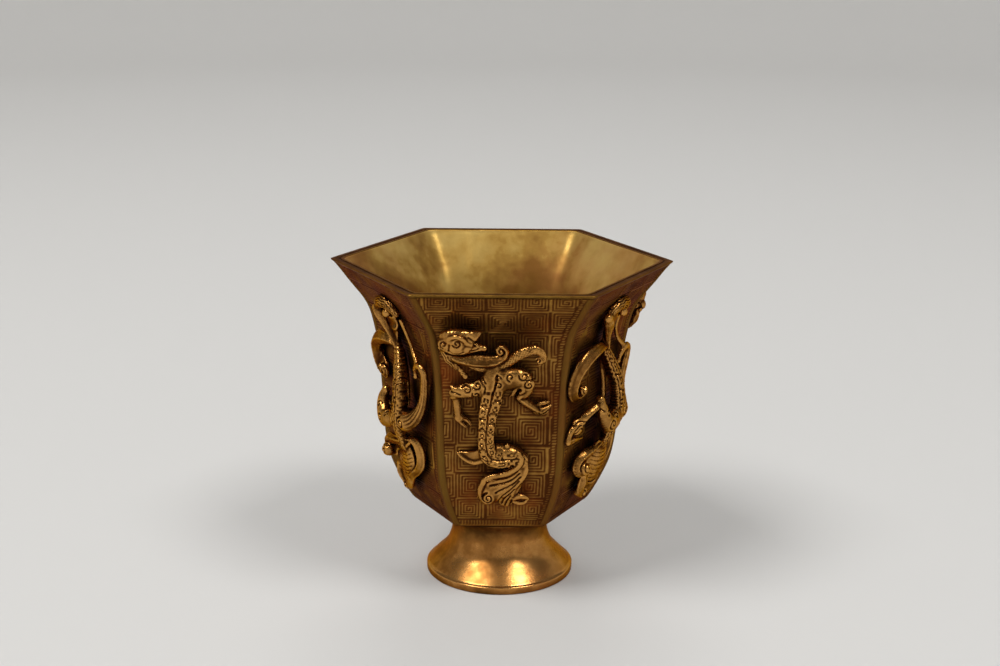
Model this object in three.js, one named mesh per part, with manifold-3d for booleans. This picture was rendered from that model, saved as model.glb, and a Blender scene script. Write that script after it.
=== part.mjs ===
// A gilt bronze wine cup: a six-sided bowl with a flared rim on a hollow trumpet foot.
// Six chilong dragons, cast apart in openwork, stand off the six walls on small feet and tenon pins.
// Two dragon patterns take turns round the bowl: one climbs with its head at the upper left,
// the other hangs from a rolled crest with its hind legs drawn up on both sides.
// Millimetres, +Z up. The origin is the middle of the foot's ring on the table.
// The corners of the rim point to +X and -X, and the front wall faces -Y.

import * as THREE from "three";
import { mergeVertices } from "three/addons/utils/BufferGeometryUtils.js";
import Module from "manifold-3d";

const wasm = await Module();
wasm.setup();

// Bowl: distances of its corners from the axis, heights above the table, and its wall
const rimCornerRadius = 43;
const waistCornerRadius = 30;
const bottomCornerRadius = 22.4;
const cupHeight = 82.5;
const waistHeight = 42;
const bowlBottomHeight = 19;
const wall = 2.8;
const floorThickness = 3.4;
const innerCornerRadius = 4;
const bowlRound = 5;

// The plain frame of each wall: its corner bands, the lip above and the band below
const cornerBand = 2;
const lipBand = 0.9;
const lowerBand = 2;
const bandRelief = 0.35;

// Underside of the bowl, and the round spigot that the foot fits over
const undersideCornerRadius = 17.2;
const undersideHeight = 16.6;
const spigotRadius = 7;
const spigotLength = 3.2;

// Foot: distances from the axis, and heights above the table
const footBaseRadius = 18.95;
const footBandHeight = 2;
const footNeckRadius = 12.3;
const footNeckHeight = 12.6;
const footCollarRadius = 13.6;
const footWall = 2.4;
const footWebHeight = 10.6;

// The foot's line from its base band to its neck: share of the way in, and share of the way up
const footOuterShares = [[0, 0], [0.2, 0.17], [0.68, 0.45], [1, 1]];
const footHollowShares = [[0, 0], [0.2, 0.2], [0.68, 0.55], [1, 1]];

// The ring of solder in the groove of the foot's upper face
const solderRadius = 10.2;
const solderWidth = 1.6;
const solderHeight = 0.7;

// Dragons: how far they stand off the wall, the radius of the body, and their tenon pins
const dragonRelief = 6;
const dragonBodyRadius = 2;
const panelHalfWidth = 15;
const standoffRadius = 1.7;
const pinRadius = 0.8;
const pinLength = 3.4;
const pinDepthInWall = 1.1;

// How far a limb's tip swells past its last point, how deep the groove along the spine lies,
// and how nearly a limb may run straight outwards before its section turns to the side
const tipShare = 0.55;
const spineShare = 0.78;
const parallelShare = 0.95;

// Gap between pieces that touch, and overrun of a cut
const clearance = 0.3;
const overrun = 1;

// Counts of the facets and steps that make a round form
const roundFacets = 28;
const pinFacets = 8;
const cornerFacets = 3;
const floorSteps = 3;
const footSteps = 8;
const hollowSteps = 5;
const limbSteps = 1;

const sides = 6;
const sideAngle = (2 * Math.PI) / sides;
const apothemShare = Math.cos(sideAngle / 2);

// How far the corner line has moved out at each share of the way from the waist to the rim
const flareShares = [
  [0, 0], [0.25, 0.044], [0.45, 0.1], [0.59, 0.178], [0.69, 0.27], [0.755, 0.38], [0.815, 0.53],
  [0.9, 0.745], [1, 1],
];

// How far it has moved in at each share of the way from the waist down to the bottom edge
const tuckShares = [
  [0, 0], [0.18, 0.04], [0.35, 0.11], [0.52, 0.24], [0.7, 0.47], [0.88, 0.76], [1, 1],
];

// Each limb of a dragon is a list of points, from its root to its tip, in shares:
// across the wall, up the bowl, out from the wall, and the limb's radius.
// flat is its thickness as a share of its width, and facets its number of sides.
const climbingDragonShares = {
  body: { flat: 0.86, facets: 7, spine: true, shares: [
    [-0.09, 0.7, 0.68, 0.8], [-0.12, 0.662, 0.74, 1.12], [-0.147, 0.6, 0.78, 1.22],
    [-0.19, 0.52, 0.78, 1.14], [-0.23, 0.44, 0.76, 1.04], [-0.215, 0.385, 0.7, 1.02],
    [-0.11, 0.34, 0.62, 1.06], [0.07, 0.32, 0.55, 1.12], [0.25, 0.33, 0.5, 1.04],
    [0.36, 0.318, 0.48, 0.8],
  ] },
  head: { flat: 0.9, facets: 6, shares: [
    [-0.89, 0.81, 0.66, 0.75], [-0.78, 0.812, 0.72, 1.28], [-0.6, 0.81, 0.76, 1.42],
    [-0.42, 0.805, 0.74, 1.16], [-0.31, 0.8, 0.7, 0.7], [-0.25, 0.796, 0.68, 0.4],
  ] },
  crest: { flat: 0.8, facets: 5, shares: [
    [-0.6, 0.838, 0.68, 0.6], [-0.42, 0.85, 0.66, 0.5], [-0.29, 0.858, 0.6, 0.28],
  ] },
  beard: { flat: 0.8, facets: 5, shares: [
    [-0.82, 0.79, 0.66, 0.8], [-0.77, 0.755, 0.68, 0.78], [-0.68, 0.728, 0.68, 0.6],
  ] },
  frontLock: { flat: 0.75, facets: 5, shares: [
    [-0.77, 0.758, 0.72, 0.7], [-0.64, 0.73, 0.8, 0.82], [-0.42, 0.714, 0.84, 0.82],
    [-0.2, 0.716, 0.85, 0.74], [-0.04, 0.73, 0.85, 0.66], [0.07, 0.752, 0.84, 0.56],
    [0.07, 0.779, 0.82, 0.46], [-0.02, 0.786, 0.8, 0.38], [-0.05, 0.768, 0.79, 0.3],
  ] },
  rearLock: { flat: 0.75, facets: 5, shares: [
    [-0.52, 0.72, 0.6, 0.55], [-0.3, 0.7, 0.64, 0.64], [-0.08, 0.705, 0.68, 0.66],
    [0.15, 0.735, 0.7, 0.68], [0.37, 0.764, 0.7, 0.68], [0.58, 0.768, 0.69, 0.58],
    [0.68, 0.748, 0.68, 0.48], [0.63, 0.728, 0.67, 0.42], [0.57, 0.737, 0.66, 0.36],
  ] },
  whisker: { flat: 1, facets: 4, shares: [
    [-0.69, 0.722, 0.58, 0.28], [-0.62, 0.69, 0.6, 0.26], [-0.56, 0.655, 0.64, 0.24],
  ] },
  leftArm: { flat: 0.8, facets: 6, shares: [
    [-0.12, 0.656, 0.72, 1], [-0.34, 0.632, 0.72, 1.06], [-0.57, 0.617, 0.68, 0.9],
    [-0.72, 0.602, 0.62, 0.66], [-0.735, 0.563, 0.52, 0.5], [-0.71, 0.515, 0.38, 0.46],
    [-0.65, 0.485, 0.22, 0.44], [-0.57, 0.465, 0.14, 0.28],
  ] },
  leftClaw: { flat: 0.9, facets: 4, shares: [
    [-0.7, 0.508, 0.3, 0.36], [-0.6, 0.492, 0.22, 0.32], [-0.49, 0.468, 0.14, 0.22],
  ] },
  rightArm: { flat: 0.8, facets: 6, shares: [
    [-0.06, 0.664, 0.7, 1], [0.16, 0.672, 0.76, 1.12], [0.36, 0.66, 0.76, 1.06],
    [0.47, 0.628, 0.7, 0.86], [0.42, 0.597, 0.64, 0.72], [0.42, 0.567, 0.54, 0.58],
    [0.51, 0.535, 0.4, 0.5], [0.62, 0.524, 0.28, 0.52], [0.72, 0.548, 0.22, 0.34],
  ] },
  rightClaw: { flat: 0.9, facets: 4, shares: [
    [0.56, 0.525, 0.28, 0.4], [0.68, 0.513, 0.18, 0.36], [0.78, 0.524, 0.14, 0.22],
  ] },
  elbowTuft: { flat: 0.9, facets: 4, shares: [
    [0.42, 0.632, 0.72, 0.5], [0.27, 0.616, 0.74, 0.46], [0.13, 0.588, 0.74, 0.22],
  ] },
  hindLeg: { flat: 0.85, facets: 5, shares: [
    [-0.18, 0.37, 0.6, 0.66], [-0.36, 0.325, 0.42, 0.58], [-0.53, 0.315, 0.28, 0.48],
    [-0.68, 0.342, 0.14, 0.32],
  ] },
  farHaunch: { flat: 0.9, facets: 5, shares: [
    [0.1, 0.338, 0.52, 0.8], [0.22, 0.362, 0.34, 0.74], [0.32, 0.364, 0.18, 0.46],
  ] },
  leftTail: { flat: 0.62, facets: 5, shares: [
    [0.36, 0.325, 0.48, 0.66], [0.24, 0.28, 0.48, 0.76], [0.04, 0.246, 0.46, 0.94],
    [-0.16, 0.222, 0.42, 0.98], [-0.31, 0.192, 0.38, 0.78], [-0.28, 0.16, 0.35, 0.62],
    [-0.18, 0.157, 0.33, 0.46],
  ] },
  rightTail: { flat: 0.62, facets: 5, shares: [
    [0.38, 0.315, 0.44, 0.64], [0.37, 0.262, 0.4, 0.72], [0.25, 0.22, 0.38, 0.74],
    [0.17, 0.182, 0.35, 0.62], [0.24, 0.152, 0.32, 0.5], [0.37, 0.156, 0.3, 0.4],
  ] },
  tailWeb: { flat: 0.45, facets: 5, shares: [
    [0.2, 0.26, 0.36, 0.8], [0.06, 0.22, 0.34, 1], [0, 0.182, 0.28, 0.8],
  ] },
  eye: { flat: 1, facets: 6, shares: [[-0.71, 0.818, 0.98, 0.42], [-0.71, 0.818, 1.12, 0.3]] },
};

const crestedDragonShares = {
  body: { flat: 0.86, facets: 7, spine: true, shares: [
    [-0.02, 0.724, 0.3, 0.5], [0.08, 0.683, 0.42, 0.7], [0.19, 0.627, 0.58, 0.82],
    [0.27, 0.561, 0.77, 0.93], [0.29, 0.494, 0.87, 1], [0.27, 0.441, 0.88, 1.05],
    [0.22, 0.391, 0.8, 0.9], [0.16, 0.343, 0.65, 0.7], [0.11, 0.306, 0.55, 0.6],
  ] },
  mane: { flat: 0.42, facets: 6, shares: [
    [-0.01, 0.718, 0.33, 0.5], [0.03, 0.759, 0.32, 1.05], [0.06, 0.809, 0.3, 1.5],
    [0.08, 0.86, 0.23, 1.6], [0.08, 0.891, 0.17, 1.25],
  ] },
  crest: { flat: 0.8, facets: 6, shares: [
    [-0.23, 0.825, 0.38, 0.42], [-0.26, 0.857, 0.35, 0.6], [-0.17, 0.888, 0.27, 0.75],
    [-0.01, 0.901, 0.22, 0.8], [0.13, 0.894, 0.22, 0.75], [0.22, 0.872, 0.28, 0.55],
    [0.17, 0.856, 0.4, 0.4],
  ] },
  stem: { flat: 0.9, facets: 5, shares: [
    [-0.24, 0.841, 0.38, 0.45], [-0.19, 0.806, 0.4, 0.4], [-0.08, 0.753, 0.37, 0.35],
    [0, 0.718, 0.33, 0.35],
  ] },
  sickleLock: { flat: 0.6, facets: 6, shares: [
    [0, 0.715, 0.33, 0.55], [-0.25, 0.724, 0.33, 0.85], [-0.51, 0.721, 0.32, 1],
    [-0.73, 0.699, 0.3, 1.05], [-0.88, 0.658, 0.27, 0.95], [-0.92, 0.605, 0.17, 0.8],
    [-0.84, 0.557, 0.15, 0.7], [-0.69, 0.543, 0.2, 0.55], [-0.62, 0.572, 0.3, 0.4],
  ] },
  tendril: { flat: 0.9, facets: 4, shares: [
    [0.32, 0.841, 0.22, 0.3], [0.37, 0.781, 0.23, 0.3], [0.47, 0.734, 0.25, 0.3],
    [0.59, 0.699, 0.3, 0.3], [0.71, 0.677, 0.35, 0.35],
  ] },
  rightLeg: { flat: 0.82, facets: 6, shares: [
    [0.21, 0.435, 0.7, 1], [0.41, 0.435, 0.7, 1.2], [0.57, 0.454, 0.57, 1.05],
    [0.69, 0.494, 0.4, 0.78], [0.8, 0.565, 0.33, 0.6], [0.88, 0.636, 0.32, 0.53],
    [0.84, 0.668, 0.37, 0.47], [0.71, 0.671, 0.4, 0.42], [0.61, 0.639, 0.38, 0.33],
  ] },
  rightClaw: { flat: 0.9, facets: 4, shares: [
    [0.84, 0.655, 0.37, 0.4], [0.74, 0.64, 0.4, 0.33], [0.66, 0.612, 0.4, 0.2],
  ] },
  leftLeg: { flat: 0.85, facets: 6, shares: [
    [0.17, 0.431, 0.77, 1], [-0.01, 0.422, 0.97, 1.2], [-0.15, 0.419, 1.07, 1.2],
    [-0.27, 0.46, 0.97, 0.95], [-0.29, 0.51, 0.8, 0.6], [-0.49, 0.485, 0.58, 0.47],
    [-0.67, 0.457, 0.4, 0.5], [-0.69, 0.428, 0.28, 0.9], [-0.7, 0.394, 0.23, 0.8],
  ] },
  leftClaw: { flat: 0.9, facets: 4, shares: [
    [-0.91, 0.38, 0.2, 0.45], [-0.72, 0.384, 0.25, 0.45], [-0.49, 0.375, 0.28, 0.15],
  ] },
  leftTail: { flat: 0.62, facets: 5, shares: [
    [0.07, 0.324, 0.57, 0.7], [-0.11, 0.312, 0.55, 0.65], [-0.31, 0.302, 0.53, 0.75],
    [-0.51, 0.28, 0.52, 0.8], [-0.56, 0.243, 0.55, 0.7], [-0.48, 0.224, 0.58, 0.55],
  ] },
  middleTail: { flat: 0.5, facets: 5, shares: [
    [0.11, 0.324, 0.5, 0.75], [0.16, 0.28, 0.45, 1.2], [0.11, 0.23, 0.4, 1.4],
    [0.01, 0.183, 0.38, 1.2], [-0.07, 0.142, 0.38, 0.9], [-0.09, 0.12, 0.37, 0.65],
  ] },
  rightTail: { flat: 0.62, facets: 5, shares: [
    [0.16, 0.34, 0.5, 0.5], [0.4, 0.337, 0.4, 0.7], [0.52, 0.29, 0.32, 0.7],
    [0.44, 0.236, 0.3, 0.65], [0.25, 0.198, 0.32, 0.6],
  ] },
};

// Each dragon's two tenon pins: across the wall, up the bowl, and how far out their stub reaches
const climbingPinShares = { upper: [-0.12, 0.65, 0.62], lower: [-0.02, 0.325, 0.52] };
const crestedPinShares = { upper: [0.1, 0.8, 0.4], lower: [0.16, 0.435, 0.76] };

const bronze = { metalness: 1, roughness: 0.38 };
const bowlMaterial = new THREE.MeshStandardMaterial({ ...bronze, color: 0x7a5a2c });
const footMaterial = new THREE.MeshStandardMaterial({ ...bronze, color: 0x9a6a35 });
const dragonMaterial = new THREE.MeshStandardMaterial({ ...bronze, color: 0xa98248 });
const pinMaterial = new THREE.MeshStandardMaterial({ ...bronze, color: 0x8c6f3e });
const solderMaterial = new THREE.MeshStandardMaterial({ ...bronze, color: 0x8d8a80 });

// Value of a table of [place, value] pairs at a place, in straight steps between its rows
function lookUp(table, place) {
  const row = table.findIndex(([at]) => at >= place);
  if (row === 0) return table[0][1];
  if (row < 0) return table[table.length - 1][1];
  const [from, low] = table[row - 1];
  const [to, high] = table[row];
  return low + ((high - low) * (place - from)) / (to - from);
}

// Distance of the bowl's outer corner line from the axis at a height
function cornerRadiusAt(height) {
  if (height >= waistHeight) {
    const share = (height - waistHeight) / (cupHeight - waistHeight);
    return waistCornerRadius + (rimCornerRadius - waistCornerRadius) * lookUp(flareShares, share);
  }
  const share = (waistHeight - height) / (waistHeight - bowlBottomHeight);
  return waistCornerRadius - (waistCornerRadius - bottomCornerRadius) * lookUp(tuckShares, share);
}

// Distance of a flat wall's sunk field from the axis at a height
function fieldRadiusAt(height) {
  return cornerRadiusAt(height) * apothemShare - bandRelief;
}

// Heights of the rows of the outer wall, from the bottom edge up
function wallHeights() {
  const below = tuckShares.map(([share]) => waistHeight - (waistHeight - bowlBottomHeight) * share);
  const above = flareShares.slice(1).map(([share]) => waistHeight + (cupHeight - waistHeight) * share);
  return [...below.reverse(), ...above];
}

// Turns an indexed geometry into a solid for joining and cutting
function toSolid(geometry) {
  const bare = geometry.clone();
  bare.deleteAttribute("normal");
  bare.deleteAttribute("uv");
  const merged = mergeVertices(bare);
  return new wasm.Manifold(new wasm.Mesh({
    numProp: 3,
    vertProperties: Float32Array.from(merged.attributes.position.array),
    triVerts: Uint32Array.from(merged.index.array),
  }));
}

// Turns a solid back into a geometry
function toGeometry(solid) {
  const mesh = solid.getMesh();
  const geometry = new THREE.BufferGeometry();
  geometry.setAttribute("position", new THREE.BufferAttribute(Float32Array.from(mesh.vertProperties), 3));
  geometry.setIndex(new THREE.BufferAttribute(Uint32Array.from(mesh.triVerts), 1));
  geometry.computeVertexNormals();
  return geometry;
}

// Joins a stack of rings with the same number of points into one closed skin
function loftRings(rings, firstTip, lastTip) {
  const count = rings[0].length;
  const points = [...rings.flat(), firstTip, lastTip];
  const first = points.length - 2;
  const last = points.length - 1;
  const faces = [];
  rings.forEach((ring, row) => {
    for (let i = 0; i < count; i += 1) {
      const next = (i + 1) % count;
      const a = row * count + i;
      const b = row * count + next;
      if (row === 0) faces.push(first, b, a);
      if (row < rings.length - 1) faces.push(a, b, b + count, a, b + count, a + count);
      else faces.push(last, a, b);
    }
  });
  const geometry = new THREE.BufferGeometry();
  const flat = points.flatMap((point) => [point.x, point.y, point.z]);
  geometry.setAttribute("position", new THREE.Float32BufferAttribute(flat, 3));
  geometry.setIndex(faces);
  return geometry;
}

// Middle of a ring of points
function middleOf(ring) {
  const sum = ring.reduce((total, point) => total.add(point), new THREE.Vector3());
  return sum.divideScalar(ring.length);
}

// One level of the outer wall: six corners, plain bands beside them and a sunk field between
function outerRing(height, cornerRadius, sunk) {
  const ring = [];
  const half = cornerRadius / 2;
  const apothem = cornerRadius * apothemShare;
  for (let side = 0; side < sides; side += 1) {
    const middle = sideAngle * (side + 0.5);
    const normal = new THREE.Vector3(Math.cos(middle), Math.sin(middle), 0);
    const along = new THREE.Vector3(-Math.sin(middle), Math.cos(middle), 0);
    const places = [
      [-half, 0], [-half + cornerBand, 0], [-half + cornerBand + bandRelief, sunk],
      [half - cornerBand - bandRelief, sunk], [half - cornerBand, 0],
    ];
    for (const [place, depth] of places) {
      const point = normal.clone().multiplyScalar(apothem - depth).addScaledVector(along, place);
      ring.push(point.setZ(height));
    }
  }
  return ring;
}

// One level of the hollow: a hexagon with rounded corners
function innerRing(height, apothem, round) {
  const ring = [];
  const centreRadius = (apothem - round) / apothemShare;
  for (let corner = 0; corner < sides; corner += 1) {
    const angle = sideAngle * corner;
    for (let step = 0; step < cornerFacets; step += 1) {
      const turn = angle + sideAngle * (step / (cornerFacets - 1) - 0.5);
      ring.push(new THREE.Vector3(
        centreRadius * Math.cos(angle) + round * Math.cos(turn),
        centreRadius * Math.sin(angle) + round * Math.sin(turn),
        height,
      ));
    }
  }
  return ring;
}

// The outer form of the bowl, grown outwards by a gap, with or without its sunk fields
function bowlForm(grown, fieldDepth) {
  const lipFoot = cupHeight - lipBand;
  const bandTop = bowlBottomHeight + lowerBand;
  const isField = (height) => height > bandTop + bandRelief && height < lipFoot - bandRelief;
  const levels = [
    { height: bowlBottomHeight, sunk: 0 },
    { height: bandTop, sunk: 0 },
    { height: bandTop + bandRelief, sunk: fieldDepth },
    ...wallHeights().filter(isField).map((height) => ({ height, sunk: fieldDepth })),
    { height: lipFoot - bandRelief, sunk: fieldDepth },
    { height: lipFoot, sunk: 0 },
    { height: cupHeight, sunk: 0 },
  ];
  const rings = [
    outerRing(undersideHeight - grown, undersideCornerRadius, 0),
    ...levels.map(({ height, sunk }) => (
      outerRing(height, cornerRadiusAt(height) + grown / apothemShare, sunk)
    )),
  ];
  return toSolid(loftRings(rings, middleOf(rings[0]), middleOf(rings[rings.length - 1])));
}

// The hollow of the bowl, from its rounded floor up past the rim
function bowlHollow() {
  const floorHeight = bowlBottomHeight + floorThickness;
  const insideAt = (height) => cornerRadiusAt(height) * apothemShare - wall;
  const rings = [];
  for (let step = 0; step < floorSteps; step += 1) {
    const turn = (Math.PI / 2) * (step / floorSteps);
    const height = floorHeight + bowlRound * (1 - Math.cos(turn));
    const apothem = insideAt(floorHeight + bowlRound) - bowlRound * (1 - Math.sin(turn));
    rings.push(innerRing(height, apothem, innerCornerRadius));
  }
  for (const height of wallHeights().filter((level) => level > floorHeight + bowlRound)) {
    rings.push(innerRing(height, insideAt(height), innerCornerRadius));
  }
  rings.push(innerRing(cupHeight + overrun, insideAt(cupHeight), innerCornerRadius));
  return toSolid(loftRings(rings, middleOf(rings[0]), middleOf(rings[rings.length - 1])));
}

// A round rod along the outward direction of the front wall
function outwardRod(radius, length, across, height, start) {
  const geometry = new THREE.CylinderGeometry(radius, radius, length, pinFacets);
  geometry.translate(across, -(start + length / 2), height);
  return geometry;
}

// Point in front of the front wall, from its shares across, up and out
function panelPoint([across, up, out]) {
  const height = bowlBottomHeight + (cupHeight - bowlBottomHeight) * up;
  const distance = fieldRadiusAt(height) + dragonRelief * out;
  return new THREE.Vector3(panelHalfWidth * across, -distance, height);
}

// One limb of a dragon: a tapering tube along a smooth line through its points
function limbGeometry({ shares, flat, facets, spine }) {
  const line = new THREE.CatmullRomCurve3(shares.map(panelPoint), false, "centripetal");
  const girth = new THREE.SplineCurve(shares.map(([, , , size], i) => new THREE.Vector2(i, size)));
  const steps = Math.round((shares.length - 1) * limbSteps);
  const outward = new THREE.Vector3(0, -1, 0);
  const sideways = new THREE.Vector3(1, 0, 0);
  const rings = [];
  for (let step = 0; step <= steps; step += 1) {
    const share = step / steps;
    const centre = line.getPoint(share);
    const tangent = line.getTangent(share);
    const guide = Math.abs(outward.dot(tangent)) < parallelShare ? outward : sideways;
    const out = guide.clone().addScaledVector(tangent, -guide.dot(tangent)).normalize();
    const beside = new THREE.Vector3().crossVectors(out, tangent);
    const radius = dragonBodyRadius * girth.getPoint(share).y;
    const ring = [];
    for (let i = 0; i < facets; i += 1) {
      const turn = Math.PI / 2 + (2 * Math.PI * i) / facets;
      const groove = spine && i === 0 ? spineShare : 1;
      const point = centre.clone().addScaledVector(beside, radius * Math.cos(turn));
      ring.push(point.addScaledVector(out, radius * flat * groove * Math.sin(turn)));
    }
    rings.push(ring);
  }
  const tip = (share, direction, size) => line.getPoint(share)
    .addScaledVector(line.getTangent(share), direction * dragonBodyRadius * size * tipShare);
  return loftRings(rings, tip(0, -1, shares[0][3]), tip(1, 1, shares[shares.length - 1][3]));
}

// Place of a pin in front of the front wall, and how far its stub reaches
function pinPlace([across, up, out]) {
  const height = bowlBottomHeight + (cupHeight - bowlBottomHeight) * up;
  const face = fieldRadiusAt(height);
  return { across: panelHalfWidth * across, height, face, reach: dragonRelief * out };
}

// A tenon pin, or with a gap the socket that it fits
function pinGeometry(shares, gap) {
  const { across, height, face } = pinPlace(shares);
  return outwardRod(pinRadius + gap, pinLength + 2 * gap, across, height, face - pinDepthInWall - gap);
}

// One dragon: its limbs and the two stubs that hold its pins, cut to the wall and bored
function dragonSolid(limbs, pins, wallFace) {
  let solid = null;
  for (const limb of Object.values(limbs)) {
    const piece = toSolid(limbGeometry(limb));
    solid = solid ? solid.add(piece) : piece;
  }
  for (const shares of Object.values(pins)) {
    const { across, height, face, reach } = pinPlace(shares);
    const stub = outwardRod(standoffRadius, reach + overrun, across, height, face - overrun);
    solid = solid.add(toSolid(stub));
  }
  solid = solid.subtract(wallFace);
  for (const shares of Object.values(pins)) {
    solid = solid.subtract(toSolid(pinGeometry(shares, clearance)));
  }
  return solid;
}

// The foot's line from one radius and height to another, through a table of shares
function footLine(shares, from, to) {
  const points = shares.map(([inward, upward]) => new THREE.Vector2(
    from.x + (to.x - from.x) * inward,
    from.y + (to.y - from.y) * upward,
  ));
  return new THREE.SplineCurve(points);
}

// The hollow trumpet foot, with the socket for the spigot and the groove for the solder
function footSolid() {
  const top = undersideHeight - clearance;
  const base = new THREE.Vector2(footBaseRadius, footBandHeight);
  const neck = new THREE.Vector2(footNeckRadius, footNeckHeight);
  const hollowBase = new THREE.Vector2(footBaseRadius - footWall, 0);
  const hollowTop = new THREE.Vector2(footNeckRadius - footWall, footWebHeight);
  const hollow = footLine(footHollowShares, hollowBase, hollowTop).getPoints(hollowSteps);
  const profile = [
    new THREE.Vector2(0, footWebHeight), ...hollow.reverse(), new THREE.Vector2(footBaseRadius, 0),
    ...footLine(footOuterShares, base, neck).getPoints(footSteps),
    new THREE.Vector2(footCollarRadius, top), new THREE.Vector2(0, top),
  ];
  const turned = new THREE.LatheGeometry(profile, roundFacets).rotateX(Math.PI / 2);
  const socketRadius = spigotRadius + clearance;
  const socketLength = spigotLength + overrun;
  const socket = new THREE.CylinderGeometry(socketRadius, socketRadius, socketLength, roundFacets)
    .rotateX(Math.PI / 2)
    .translate(0, 0, undersideHeight - spigotLength - clearance + socketLength / 2);
  return toSolid(turned).subtract(toSolid(socket)).subtract(toSolid(solderGeometry(clearance)));
}

// The solder ring, or with a gap the groove that holds it
function solderGeometry(gap) {
  const inside = solderRadius - solderWidth / 2 - gap;
  const outside = solderRadius + solderWidth / 2 + gap;
  const top = undersideHeight - clearance + (gap ? overrun : 0);
  const bottom = undersideHeight - clearance - solderHeight - gap;
  const profile = [[inside, bottom], [outside, bottom], [outside, top], [inside, top], [inside, bottom]];
  const points = profile.map(([radius, height]) => new THREE.Vector2(radius, height));
  return new THREE.LatheGeometry(points, roundFacets).rotateX(Math.PI / 2);
}

// The bowl with its hollow, its spigot and the pin sockets of all six walls
function bodySolid(panels) {
  const spigotReach = spigotLength + overrun;
  const spigot = new THREE.CylinderGeometry(spigotRadius, spigotRadius, spigotReach, roundFacets)
    .rotateX(Math.PI / 2)
    .translate(0, 0, undersideHeight - spigotLength + spigotReach / 2);
  let solid = bowlForm(0, bandRelief).add(toSolid(spigot)).subtract(bowlHollow());
  for (const { turn, pins } of panels) {
    for (const shares of Object.values(pins)) {
      solid = solid.subtract(toSolid(pinGeometry(shares, clearance).rotateZ(turn)));
    }
  }
  return solid;
}

// Adds a named mesh to the cup
function addPiece(group, name, geometry, material, turn = 0) {
  const mesh = new THREE.Mesh(geometry, material);
  mesh.name = name;
  mesh.rotation.z = turn;
  group.add(mesh);
}

const panelNames = ["front", "front_right", "back_right", "back", "back_left", "front_left"];
const panels = panelNames.map((name, i) => {
  const climbing = i % 2 === 0;
  return {
    name: `${climbing ? "climbing" : "crested"}_dragon_${name}`,
    pins: climbing ? climbingPinShares : crestedPinShares,
    limbs: climbing ? climbingDragonShares : crestedDragonShares,
    turn: sideAngle * i,
  };
});

const cup = new THREE.Group();
addPiece(cup, "cup_body", toGeometry(bodySolid(panels)), bowlMaterial);
addPiece(cup, "foot", toGeometry(footSolid()), footMaterial);
addPiece(cup, "solder_ring", toGeometry(toSolid(solderGeometry(0))), solderMaterial);

const wallFace = bowlForm(clearance, 0);
for (const { name, pins, limbs, turn } of panels) {
  addPiece(cup, name, toGeometry(dragonSolid(limbs, pins, wallFace)), dragonMaterial, turn);
  for (const [place, shares] of Object.entries(pins)) {
    addPiece(cup, `${name}_${place}_pin`, pinGeometry(shares, 0), pinMaterial, turn);
  }
}

export default cup;
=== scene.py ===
"""A gilt bronze wine cup: a hexagonal bowl with carved key pattern, a trumpet foot and six openwork dragons.

Sizes are millimetres until a mesh is made. A wall's own directions are across (u), out (w) and up (z).
"""

import logging
import math
from dataclasses import dataclass, field
from enum import Enum

import bpy
import numpy as np
import openvdb
from mathutils import Matrix, Vector


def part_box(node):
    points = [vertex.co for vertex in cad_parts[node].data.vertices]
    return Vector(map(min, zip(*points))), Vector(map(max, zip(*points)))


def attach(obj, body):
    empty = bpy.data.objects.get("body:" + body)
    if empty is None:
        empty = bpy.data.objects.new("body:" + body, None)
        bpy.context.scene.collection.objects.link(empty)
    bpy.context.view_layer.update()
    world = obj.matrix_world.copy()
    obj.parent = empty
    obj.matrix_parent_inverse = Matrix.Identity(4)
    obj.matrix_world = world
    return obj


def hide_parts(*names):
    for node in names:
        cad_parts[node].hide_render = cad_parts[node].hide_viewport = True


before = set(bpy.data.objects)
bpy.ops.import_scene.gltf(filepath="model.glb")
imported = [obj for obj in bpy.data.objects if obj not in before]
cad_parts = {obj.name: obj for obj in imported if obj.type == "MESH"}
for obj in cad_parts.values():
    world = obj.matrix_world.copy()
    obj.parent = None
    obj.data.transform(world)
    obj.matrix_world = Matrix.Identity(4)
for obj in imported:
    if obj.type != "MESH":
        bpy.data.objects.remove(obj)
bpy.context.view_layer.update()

LOG = logging.getLogger("wine_cup")
MM = 0.001
TURN = 2 * math.pi
SIDES = 6
SIDE_ANGLE = TURN / SIDES
APOTHEM_SHARE = math.cos(SIDE_ANGLE / 2)
PANELS = ("front", "front_right", "back_right", "back", "back_left", "front_left")

SWAY_SEED, DENT_SEED, WEAR_SEED, INNER_SEED, FOOT_SEED = 11, 31, 51, 71, 91

Line = tuple[tuple[float, float], ...]
Triple = tuple[float, float, float]
Array = np.ndarray
Part = tuple[slice, ...]
Model = tuple[Array, Array, Array]
Piece = bpy.types.Object
Socket = bpy.types.NodeSocket


def smooth_table(places: Array, values: Array, at: Array) -> Array:
    """Value of a table between its rows, on a smooth line that never overshoots them.

    Args:
        places: Rising places of the table's rows.
        values: Value at each row.
        at: Places to look up.

    Returns:
        The values at those places.
    """
    places, values = np.asarray(places, float), np.asarray(values, float)
    spans = np.diff(places)
    slopes = np.diff(values) / spans
    lean = np.zeros(len(places))
    both = slopes[:-1] * slopes[1:] > 0
    with np.errstate(divide="ignore", invalid="ignore"):
        middle = 2 * slopes[:-1] * slopes[1:] / (slopes[:-1] + slopes[1:])
    lean[1:-1] = np.where(both, middle, 0)
    lean[0], lean[-1] = slopes[0], slopes[-1]
    at = np.clip(at, places[0], places[-1])
    row = np.clip(np.searchsorted(places, at) - 1, 0, len(spans) - 1)
    t = (at - places[row]) / spans[row]
    start = values[row] * (1 + 2 * t) * (1 - t) ** 2 + lean[row] * spans[row] * t * (1 - t) ** 2
    end = values[row + 1] * t * t * (3 - 2 * t) + lean[row + 1] * spans[row] * t * t * (t - 1)
    return start + end


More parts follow.
